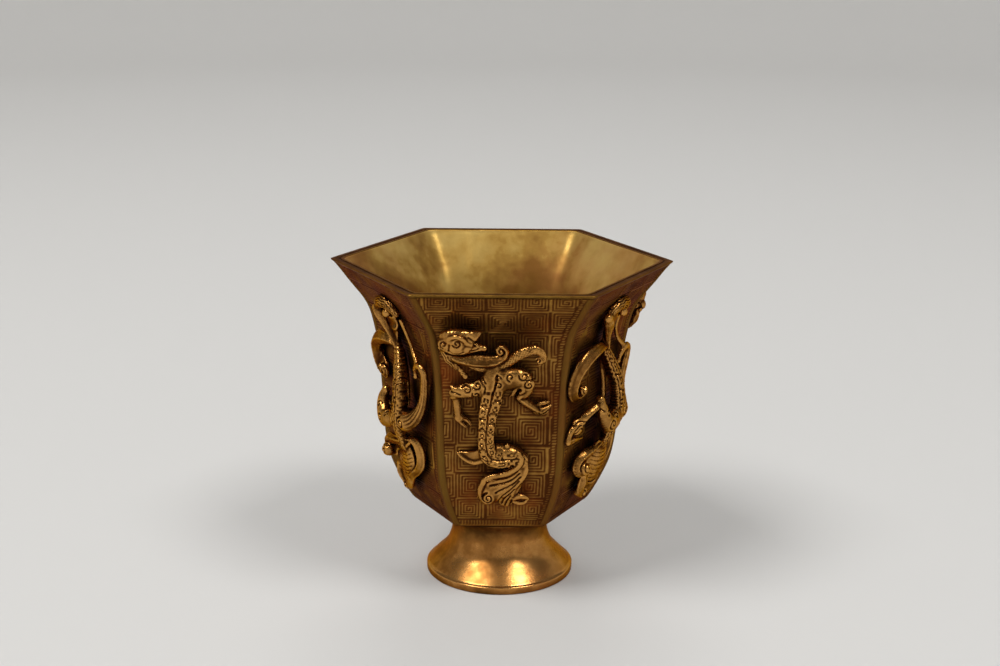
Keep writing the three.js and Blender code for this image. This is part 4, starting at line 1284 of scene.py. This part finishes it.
def crested_dragon() -> Dragon:
    """The dragon that hangs from a rolled crest, with a sickle lock and both hind legs drawn up."""
    body = (
        Limb(((-0.5, 65.2, 1.5, 0.9), (0.4, 63.4, 1.9, 1.2), (1.4, 61.4, 2.5, 1.45),
             (2.3, 59.4, 3.1, 1.65), (3.2, 57.2, 3.7, 1.8), (3.9, 55.0, 4.3, 1.9),
             (4.3, 52.5, 4.7, 1.95), (4.3, 50.0, 5.0, 2.0), (4.1, 47.8, 5.2, 2.0),
             (3.6, 45.4, 5.0, 1.85), (2.9, 43.0, 4.3, 1.6), (2.3, 40.8, 3.6, 1.3),
             (2.0, 38.8, 3.1, 1.0)), 0.86, Chasing.SPINE, crisp=3.0),
        Limb(((0.6, 62.4, 0.9, 0.7), (1.6, 58.6, 1.2, 0.8), (2.3, 54.6, 1.6, 0.9),
             (2.6, 50.8, 1.8, 0.8), (2.6, 49.6, 1.8, 0.5)), 0.8),
    )
    crest = (
        Limb(((-0.8, 64.8, 1.7, 0.8), (-0.4, 67.2, 1.7, 1.5), (0.1, 70.4, 1.5, 2.3),
             (0.6, 73.4, 1.2, 2.8), (0.8, 75.2, 0.9, 2.4)), 0.36),
        Limb(((-4.2, 71.2, 2.0, 0.9), (-4.3, 73.0, 1.8, 1.1), (-3.0, 74.6, 1.4, 1.4),
             (-0.8, 75.6, 1.2, 1.6), (1.7, 75.7, 1.1, 1.65), (3.8, 74.9, 1.2, 1.4),
             (4.5, 73.5, 1.4, 1.1)), 0.85, Chasing.HAIR, 0.5),
        Limb(((-4.9, 72.9, 2.2, 1.25), (-4.1, 71.6, 2.5, 1.3), (-2.8, 69.6, 2.7, 0.95),
             (-1.6, 67.4, 2.6, 0.65), (-0.4, 65.4, 2.4, 0.6), (0.3, 64.1, 2.3, 0.6)),
             0.95, Chasing.RIDGE, 0.3, ridge=0.1),
        Limb(((4.6, 71.6, 1.2, 0.5), (5.4, 68.2, 1.2, 0.5), (6.8, 65.8, 1.3, 0.5),
             (8.4, 63.8, 1.7, 0.55), (10.0, 62.4, 2.1, 0.6)), 0.9, blend=0.4),
    )
    sickle = (
        Limb(((-0.4, 64.4, 2.0, 0.9), (-3.4, 64.9, 2.4, 1.4), (-6.4, 64.7, 2.6, 1.75),
             (-9.2, 63.9, 2.5, 1.9), (-11.6, 62.3, 2.1, 1.95), (-13.2, 60.0, 1.6, 1.8),
             (-13.7, 57.5, 1.2, 1.75), (-13.2, 55.5, 1.0, 1.55), (-11.9, 54.1, 1.0, 1.35),
             (-10.1, 53.8, 1.3, 1.1), (-8.8, 54.6, 1.7, 0.9), (-9.0, 55.8, 2.1, 0.75),
             (-10.1, 56.2, 2.2, 0.6)), 0.72, Chasing.RIDGE, 0.5, ridge=0.1),
        Limb(((-13.0, 58.0, 0.9, 1.6), (-11.9, 56.2, 1.0, 2.2), (-10.4, 55.4, 1.1, 1.9)), 0.4),
    )
    legs = (
        Limb(((3.8, 46.9, 4.3, 1.9), (6.6, 46.9, 4.4, 2.3), (9.0, 48.0, 3.4, 2.0),
             (10.5, 50.4, 2.4, 1.5), (11.6, 53.2, 2.0, 1.25), (12.5, 56.2, 2.0, 1.15),
             (13.2, 58.8, 2.1, 1.05), (13.2, 60.6, 2.2, 1.0), (12.1, 61.7, 2.4, 0.9),
             (10.4, 61.4, 2.5, 0.8), (9.2, 60.2, 2.4, 0.7), (8.8, 58.8, 2.2, 0.5)),
             0.9, Chasing.STRANDS),
        Limb(((3.4, 46.9, 4.9, 1.9), (0.6, 46.0, 5.6, 2.2), (-1.8, 45.6, 5.9, 2.2),
             (-3.6, 47.4, 5.6, 1.9), (-4.3, 49.8, 5.2, 1.5), (-4.2, 51.4, 4.6, 1.1)), 0.85),
        Limb(((-4.0, 51.6, 4.4, 0.95), (-5.6, 50.6, 4.1, 0.9), (-7.4, 49.7, 3.5, 0.9),
             (-9.0, 48.6, 2.7, 0.95), (-9.9, 47.2, 1.9, 1.1)), 1.0, Chasing.RIDGE, 0.5, ridge=0.0),
        Limb(((-13.9, 43.0, 1.2, 0.7), (-11.8, 43.2, 1.6, 0.65), (-9.4, 42.9, 1.7, 0.45),
             (-7.4, 42.6, 1.8, 0.2)), 0.9, Chasing.CLAW, 0.4),
        Limb(((-12.1, 46.2, 1.3, 0.8), (-13.1, 44.9, 1.1, 0.75), (-13.7, 43.9, 1.1, 0.6)), 0.9),
    )
    tail = (
        Limb(((1.8, 38.8, 2.4, 1.0), (2.2, 36.6, 2.2, 2.8), (1.2, 33.8, 2.0, 3.9),
             (-0.2, 31.4, 1.9, 3.6), (-1.4, 29.4, 1.9, 2.6)), 0.34, blend=0.8),
        Limb(((1.0, 39.4, 2.9, 0.8), (-1.6, 38.8, 3.0, 1.0), (-4.4, 38.4, 2.9, 1.3),
             (-7.0, 37.9, 2.4, 1.55), (-9.0, 36.7, 1.8, 1.45), (-9.6, 35.2, 1.8, 1.3),
             (-8.8, 33.9, 2.4, 1.2), (-7.6, 33.9, 2.9, 1.0)), 0.75, Chasing.RIDGE, 0.5, ridge=-0.3),
        Limb(((-4.6, 37.4, 1.4, 1.6), (-7.0, 35.8, 1.4, 1.9), (-7.4, 34.4, 1.4, 1.6)), 0.4),
        Limb(((2.4, 40.6, 2.9, 0.7), (4.8, 41.3, 2.6, 0.85), (7.0, 40.6, 2.0, 1.1),
             (8.1, 38.2, 1.6, 1.25), (7.6, 35.4, 1.5, 1.2), (5.6, 32.9, 1.8, 1.05),
             (3.2, 31.0, 2.4, 0.85)), 0.8, Chasing.RIDGE, 0.5, ridge=-0.35),
        Limb(((5.6, 41.2, 2.7, 0.45), (3.9, 39.6, 3.0, 0.5), (2.1, 38.6, 3.1, 0.55),
             (0.4, 39.2, 3.1, 0.5), (-1.2, 40.0, 3.1, 0.5), (-3.3, 39.4, 3.1, 0.4)), 0.9, blend=0.4),
        Limb(((-4.6, 31.4, 2.0, 1.2), (-5.0, 29.6, 2.1, 1.2), (-4.7, 28.0, 2.1, 1.2),
             (-3.6, 26.7, 2.2, 1.1)), 0.7, Chasing.RIDGE, 0.5, ridge=0.2),
        Limb(((-4.6, 27.4, 1.6, 1.3), (-2.4, 26.8, 2.0, 1.5), (-0.4, 27.6, 2.3, 1.4),
             (0.9, 28.9, 2.5, 1.1), (1.2, 30.0, 2.6, 0.9)), 0.75, blend=0.5),
        Limb(((-2.2, 35.4, 1.7, 1.6), (-2.6, 32.4, 1.7, 1.8), (-3.0, 29.6, 1.6, 1.7)), 0.4),
    )
    return Dragon(
        kind=DragonKind.CRESTED,
        limbs=body + crest + sickle + legs + tail,
        bosses=(
            Boss(-10.2, 55.7, 2.4, 1.2, 0.9, 0.2), Boss(-4.1, 51.9, 4.3, 1.15, 0.95, 0.2),
            Boss(6.6, 46.7, 4.4, 2.6, 0.85, 0.5), Boss(-1.5, 45.4, 5.6, 2.3, 0.8, 0.5),
            Boss(-7.8, 34.8, 3.1, 1.8, 0.95, 0.2), Boss(-2.7, 26.4, 2.3, 1.4, 0.9, 0.3),
            Boss(8.7, 58.4, 2.1, 0.7, 0.9, 0.2), Boss(-10.0, 46.2, 1.4, 2.3, 0.6, 0.4),
        ),
        posts=(Post(1.0, 70.2, 1.8), Post(2.1, 46.6, 4.0), Post(0.9, 33.0, 2.0, 1.3),
               Post(-12.6, 59.4, 1.4, 1.2)),
        pits=(Boss(1.9, 73.0, 3.2, 1.75, 1.1), Boss(6.2, 36.9, 3.2, 1.3, 1.0)),
        beads=(Boss(1.8, 73.2, 2.6, 1.15, 1.0, 0.1), Boss(1.5, 30.0, 2.6, 0.8, 1.0, 0.2)),
        spirals=(
            Spiral(-10.2, 55.6, 0.95, 1.2, 1, 90, 0.4, 0.2), Spiral(-2.1, 45.6, 1.4, 1.5, -1, 90, 0.4),
            Spiral(-3.7, 48.6, 0.9, 1.3, 1, 0, 0.34), Spiral(0.3, 47.1, 0.8, 1.2, 1, 0, 0.3),
            Spiral(-7.8, 34.8, 1.45, 1.4, 1, 45, 0.42), Spiral(6.7, 46.5, 1.6, 1.6, 1, 90, 0.44, 0.24),
            Spiral(-2.7, 26.4, 1.2, 1.5, -1, 0, 0.4),
        ),
        grooves=(
            Groove(((-5.5, 51.6), (-5.8, 50.5), (-5.3, 49.6)), 0.3, 0.2),
            Groove(((-12.3, 46.6), (-10.9, 47.7), (-9.2, 47.5), (-8.0, 46.3)), 0.3, 0.18),
            Groove(((-12.0, 45.7), (-10.8, 46.8), (-9.3, 46.6), (-8.4, 45.7)), 0.3, 0.18),
            Groove(((-11.5, 45.0), (-10.6, 45.9), (-9.5, 45.8), (-8.9, 45.1)), 0.3, 0.18),
            Groove(((-1.4, 37.2), (0.6, 36.4), (2.8, 36.3), (4.4, 37.2)), 0.22, 0.07),
            Groove(((-2.2, 36.4), (0.2, 35.4), (2.8, 35.3), (5.0, 36.3)), 0.22, 0.07),
            Groove(((-2.8, 35.5), (-0.2, 34.4), (2.6, 34.2), (5.0, 35.2)), 0.22, 0.07),
            Groove(((-3.2, 34.6), (-0.6, 33.4), (2.2, 33.1), (4.6, 34.0)), 0.22, 0.07),
            Groove(((-3.6, 33.7), (-1.2, 32.4), (1.6, 32.0), (4.0, 32.8)), 0.22, 0.07),
            Groove(((-3.9, 32.7), (-1.8, 31.4), (0.8, 31.0), (2.8, 31.5)), 0.22, 0.07),
            Groove(((-4.1, 31.6), (-2.2, 30.4), (-0.4, 30.1)), 0.22, 0.07),
            Groove(((-2.0, 29.3), (-0.6, 28.9), (0.6, 29.2)), 0.36, 0.2),
            Groove(((3.4, 55.9), (4.2, 55.6), (5.2, 56.0)), 0.4, 0.16),
        ),
    )


@dataclass
class Nodes:
    """Makes the shading nodes of one material and links them."""

    tree: bpy.types.NodeTree
    noise_roughness: float = 0.6

    def add(self, kind: str, output: str | int, inputs: dict[str | int, object],
            **settings: object) -> Socket:
        """Adds a node.

        Args:
            kind: Its type, without the prefix that all shading nodes share.
            output: Name or number of the output to give back.
            inputs: For each input, a value or the output of another node.
            settings: Its own settings.

        Returns:
            The output.
        """
        node = self.tree.nodes.new(f"ShaderNode{kind}")
        for name, value in settings.items():
            setattr(node, name, value)
        for name, value in inputs.items():
            if isinstance(value, Socket):
                self.tree.links.new(value, node.inputs[name])
            else:
                node.inputs[name].default_value = value
        return node.outputs[output]

    def noise(self, scale: float, detail: float, stretch: Triple = (1, 1, 1), shift: float = 0.0) -> Socket:
        """Noise of a scale, stretched along the axes and shifted to another place."""
        place = self.add("TexCoord", "Object", {})
        place = self.add("Mapping", "Vector", {"Vector": place, "Scale": stretch, "Location": (shift, 0, 0)})
        return self.add("TexNoise", "Fac", {"Vector": place, "Scale": scale, "Detail": detail,
                                            "Roughness": self.noise_roughness})

    def attribute(self, name: str) -> Socket:
        """A tone that the mesh carries."""
        return self.add("Attribute", "Fac", {}, attribute_name=name)

    def spread(self, value: Socket, low: float, high: float, to_low: float = 0.0,
               to_high: float = 1.0) -> Socket:
        """Value stretched from one range to another and held inside it."""
        return self.add("MapRange", "Result", {"Value": value, "From Min": low, "From Max": high,
                                               "To Min": to_low, "To Max": to_high})

    def mixed(self, share: Socket, first: Socket | Triple, second: Socket | Triple) -> Socket:
        """Two colours mixed by a share."""
        first, second = (c if isinstance(c, Socket) else linear(c) for c in (first, second))
        return self.add("Mix", 2, {"Factor": share, 6: first, 7: second}, data_type="RGBA")

    def sum_of(self, first: Socket, second: Socket, share: float) -> Socket:
        """First plus a share of how far second is from its middle."""
        offset = self.add("Math", 0, {0: first, 1: share / 2}, operation="SUBTRACT")
        return self.add("Math", 0, {0: second, 1: share, 2: offset}, operation="MULTIPLY_ADD", use_clamp=True)

    def bump(self, height: Socket, strength: float, distance: float, under: Socket | None = None) -> Socket:
        """Normal bent by a height, on top of another bend."""
        inputs = {"Height": height, "Strength": strength, "Distance": distance}
        return self.add("Bump", "Normal", inputs | ({"Normal": under} if under else {}))


def linear(colour: Triple) -> tuple[float, float, float, float]:
    """Colour as the shader takes it, from the colour that a screen shows."""
    return (*[((c + 0.055) / 1.055) ** 2.4 if c > 0.04 else c / 12.92 for c in colour], 1.0)


@dataclass(frozen=True)
class BronzeFinish:
    """A gilt bronze surface: gold on what stands out, brown patina in what lies deep.

    Colours are red, green and blue as a screen shows them, from 0 to 1. The blush is copper red that
    comes through the gilding in patches, the shadow colour is painted shadow that a dragon casts on the
    wall, the folds are soft upright waves of a hammered wall, the dimples are the marks of a chasing tool,
    and the glare is the colour of what the metal mirrors at a slant.
    """

    name: str
    gold: Triple
    brown: Triple
    patina: Triple
    blush: Triple = (0.42, 0.22, 0.10)
    blush_amount: float = 0.3
    tone: str | None = None
    tone_from: float = 0.0
    tone_to: float = 1.0
    band: Triple | None = None
    # colour of the painted shadow that the dragons cast on the wall
    shadow_colour: Triple | None = None
    patch_scale: float = 90.0
    patch_amount: float = 0.5
    shine: float = 0.32
    dull: float = 0.6
    metal: float = 0.85
    grain: float = 0.15
    folds: float = 0.0
    dimples: float = 0.0
    glare: Triple = (0.85, 0.68, 0.42)

    def build(self) -> bpy.types.Material:
        """Makes the material.

        Returns:
            A material whose colour, roughness and bump come from its nodes.
        """
        material = bpy.data.materials.new(self.name)
        material.use_nodes = True
        nodes = Nodes(material.node_tree)
        shader = material.node_tree.nodes["Principled BSDF"]
        patches = nodes.spread(nodes.noise(self.patch_scale, 4), 0.3, 0.7)
        specks = nodes.spread(nodes.noise(self.patch_scale * 7, 3), 0.3, 0.7)
        high = patches
        if self.tone:
            high = nodes.spread(nodes.attribute(self.tone), self.tone_from, self.tone_to)
        worn = nodes.sum_of(nodes.sum_of(high, patches, self.patch_amount), specks, self.patch_amount * 0.4)
        base = nodes.mixed(nodes.spread(worn, 0.0, 0.55), self.patina, self.brown)
        colour = nodes.mixed(nodes.spread(worn, 0.45, 1.0), base, self.gold)
        red = nodes.noise(self.patch_scale * 0.6, 5, shift=3.7)
        colour = nodes.mixed(nodes.spread(red, 0.5, 0.72, 0.0, self.blush_amount), colour, self.blush)
        if self.band:
            band = nodes.mixed(patches, self.brown, self.band)
            colour = nodes.mixed(nodes.spread(nodes.attribute("band"), 0.5, 0.9), colour, band)
        # painted shadow of the dragons darkens the wall's colour
        if self.shadow_colour:
            painted_shadow = nodes.spread(nodes.attribute("painted_shadow"), 0.15, 1.0, 0.0, 0.85)
            colour = nodes.mixed(painted_shadow, colour, self.shadow_colour)
        normal = nodes.bump(nodes.noise(1400, 2), self.grain, 0.0002)
        if self.folds:
            normal = nodes.bump(nodes.noise(70, 2, (1, 1, 0.3)), self.folds, 0.002, normal)
        if self.dimples:
            normal = nodes.bump(nodes.noise(520, 3), self.dimples, 0.0006, normal)
        roughness = nodes.spread(worn, 0.1, 0.95, self.dull, self.shine)
        for name, value in (("Base Color", colour), ("Roughness", roughness), ("Normal", normal)):
            nodes.tree.links.new(value, shader.inputs[name])
        shader.inputs["Metallic"].default_value = self.metal
        shader.inputs["Specular Tint"].default_value = linear(self.glare)
        return material


# The carved wall's darkest colour is painted shadow round and below the dragons.
CARVED_WALL = BronzeFinish(
    "carved_wall_bronze", gold=(0.65, 0.48, 0.22), brown=(0.47, 0.30, 0.13), patina=(0.30, 0.16, 0.061),
    tone="carved", tone_from=-0.1, tone_to=1.1, blush=(0.60, 0.27, 0.10), blush_amount=0.5,
    band=(0.47, 0.35, 0.14), shadow_colour=(0.14, 0.068, 0.034), patch_scale=70, patch_amount=0.55, shine=0.3,
    dull=0.55, glare=(0.55, 0.38, 0.2))
PLAIN_LIP = BronzeFinish(
    "plain_lip_bronze", gold=(0.61, 0.46, 0.20), brown=(0.37, 0.25, 0.10), patina=(0.18, 0.10, 0.041),
    blush_amount=0.1, tone="carved", patch_amount=0.35, shine=0.24, dull=0.5, glare=(0.6, 0.45, 0.25))
INSIDE = BronzeFinish(
    "pale_inside_gilding", gold=(0.76, 0.63, 0.35), brown=(0.63, 0.49, 0.23), patina=(0.46, 0.31, 0.12),
    blush=(0.68, 0.45, 0.26), blush_amount=0.7, patch_scale=38, patch_amount=0.7, metal=0.4, dull=0.5,
    folds=0.5)
# The foot's tone brings a painted highlight along the band's edge and painted shade under the bowl.
FOOT = BronzeFinish(
    "foot_bronze_painted_light", gold=(0.85, 0.62, 0.35), brown=(0.64, 0.43, 0.21), patina=(0.35, 0.23, 0.10),
    blush=(0.76, 0.42, 0.22), blush_amount=0.5, tone="foot_light_tone", patch_scale=60, patch_amount=0.6,
    metal=0.95, shine=0.2, dull=0.4, grain=0.08)
# The dragon's tone darkens patina in its hollows and paints shade near the wall and on faces turned away.
DRAGON = BronzeFinish(
    "chased_dragon_gilding", gold=(0.77, 0.56, 0.29), brown=(0.46, 0.30, 0.13), patina=(0.19, 0.095, 0.041),
    blush=(0.46, 0.23, 0.11), tone="hollow", tone_from=0.85, tone_to=0.1, metal=0.97, shine=0.17,
    dull=0.42, dimples=0.45)
PIN = BronzeFinish("plain_pin_bronze", gold=(0.55, 0.43, 0.24), brown=(0.45, 0.34, 0.18),
                   patina=(0.3, 0.2, 0.1))
SOLDER = BronzeFinish("grey_solder", gold=(0.62, 0.60, 0.56), brown=(0.5, 0.48, 0.44),
                      patina=(0.4, 0.38, 0.34))


@dataclass
class Studio:
    """Pale floor and backdrop, soft lamps, and a camera at the photograph's place."""

    focal_pixels: float = 1633.5
    picture_width: float = 1000.0
    sensor: float = 36.0
    pitch: float = 15.59
    roll: float = 0.5
    sideways: float = -0.33
    distance: float = 412.9
    aim_height: float = 63.34
    aim: Triple = (0, 0, 0.05)
    room_light: float = 0.13
    floor_facets: int = 64
    floor_sweep: Line = ((0.001, 0), (0.4, 0), (0.8, 0), (1.2, 0), (1.4, 0.04), (1.55, 0.15), (1.62, 0.35),
                         (1.65, 1.0))
    pale: Triple = (0.66, 0.65, 0.63)

    def add_camera(self) -> None:
        """Sets the camera that the photograph was taken from."""
        data = bpy.data.cameras.new("camera")
        data.sensor_width = self.sensor
        data.lens = self.focal_pixels / self.picture_width * self.sensor
        data.clip_start = 0.01
        camera = bpy.data.objects.new("camera", data)
        tilt = math.radians(self.pitch)
        reach = self.distance * MM
        camera.location = (self.sideways * MM, -reach * math.cos(tilt),
                           self.aim_height * MM + reach * math.sin(tilt))
        level = Matrix.Rotation(math.pi / 2 - tilt, 3, "X")
        camera.rotation_euler = (level @ Matrix.Rotation(math.radians(self.roll), 3, "Z")).to_euler()
        bpy.context.scene.collection.objects.link(camera)
        bpy.context.scene.camera = camera

    def add_floor(self) -> None:
        """Lays a floor that sweeps up into a backdrop all round."""
        material = bpy.data.materials.new("pale_paper")
        material.use_nodes = True
        shader = material.node_tree.nodes["Principled BSDF"]
        shader.inputs["Base Color"].default_value = (*self.pale, 1)
        shader.inputs["Roughness"].default_value = 0.9
        turn = turns(self.floor_facets)
        rings = np.vstack([round_ring(radius, turn, height) for radius, height in self.floor_sweep])
        numbers = np.arange(len(rings)).reshape(-1, self.floor_facets)
        floor = make_object("pale_floor", rings / MM, [sleeve(numbers)[:, ::-1]], {})
        floor.data.materials.append(material)

    def add_lamp(self, name: str, place: Triple, size: float, power: float) -> None:
        """Adds a soft square lamp that faces the cup."""
        data = bpy.data.lights.new(name, "AREA")
        data.shape = "SQUARE"
        data.size = size
        data.energy = power
        lamp = bpy.data.objects.new(name, data)
        lamp.location = place
        aim = Vector(self.aim) - Vector(place)
        lamp.rotation_euler = aim.to_track_quat("-Z", "Y").to_euler()
        bpy.context.scene.collection.objects.link(lamp)

    def build(self) -> None:
        """Sets up the whole stage."""
        self.add_camera()
        self.add_floor()
        world = bpy.data.worlds.new("soft_grey_room")
        world.use_nodes = True
        light = world.node_tree.nodes["Background"].inputs
        light["Color"].default_value = (1, 1, 1, 1)
        light["Strength"].default_value = self.room_light
        bpy.context.scene.world = world
        self.add_lamp("key_lamp", (-0.76, -0.54, 1.48), 0.65, 15.5)
        self.add_lamp("fill_lamp", (0.72, -0.61, 1.48), 0.54, 10.5)
        self.add_lamp("back_lamp", (0.0, 0.9, 1.44), 0.72, 5.0)
        bpy.context.scene.view_settings.view_transform = "Standard"


def dress(piece: Piece, finishes: list[bpy.types.Material]) -> None:
    """Gives a piece its materials, one in each slot."""
    slots = piece.data.materials
    for k, finish in enumerate(finishes):
        if k < len(slots):
            slots[k] = finish
        else:
            slots.append(finish)


def main() -> None:
    """Builds every piece and reports it."""
    logging.basicConfig(level=logging.INFO, format="%(message)s")
    Studio().build()
    profile = BowlProfile()

    foot = Foot().build()
    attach(foot, "root")
    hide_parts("foot")
    dress(foot, [FOOT.build()])

    sculptor = Sculptor(profile)
    dragons = {dragon.kind: dragon for dragon in (climbing_dragon(), crested_dragon())}
    models = {kind: dragon.model(sculptor) for kind, dragon in dragons.items()}

    # painted shadow that each kind of dragon casts on the wall behind it
    painted_shadow = tuple(PaintedShadow(models[kind][0]) for kind in (DragonKind.CLIMBING, DragonKind.CRESTED))
    bowl = Bowl(profile, painted_shadow).build()
    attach(bowl, "root")
    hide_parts("cup_body")
    dress(bowl, [CARVED_WALL.build(), PLAIN_LIP.build(), INSIDE.build()])

    finish = DRAGON.build()
    for i, panel in enumerate(PANELS):
        kind = DragonKind.CLIMBING if i % 2 == 0 else DragonKind.CRESTED
        node = f"{kind.value}_dragon_{panel}"
        piece = dragons[kind].place(f"{kind.value}_chilong_{panel}", node, SIDE_ANGLE * i, models[kind])
        dress(piece, [finish])

    pin, solder = PIN.build(), SOLDER.build()
    for name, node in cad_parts.items():
        if name.endswith("_pin"):
            dress(node, [pin])
        if name == "solder_ring":
            dress(node, [solder])


if __name__ == "__main__":
    main()
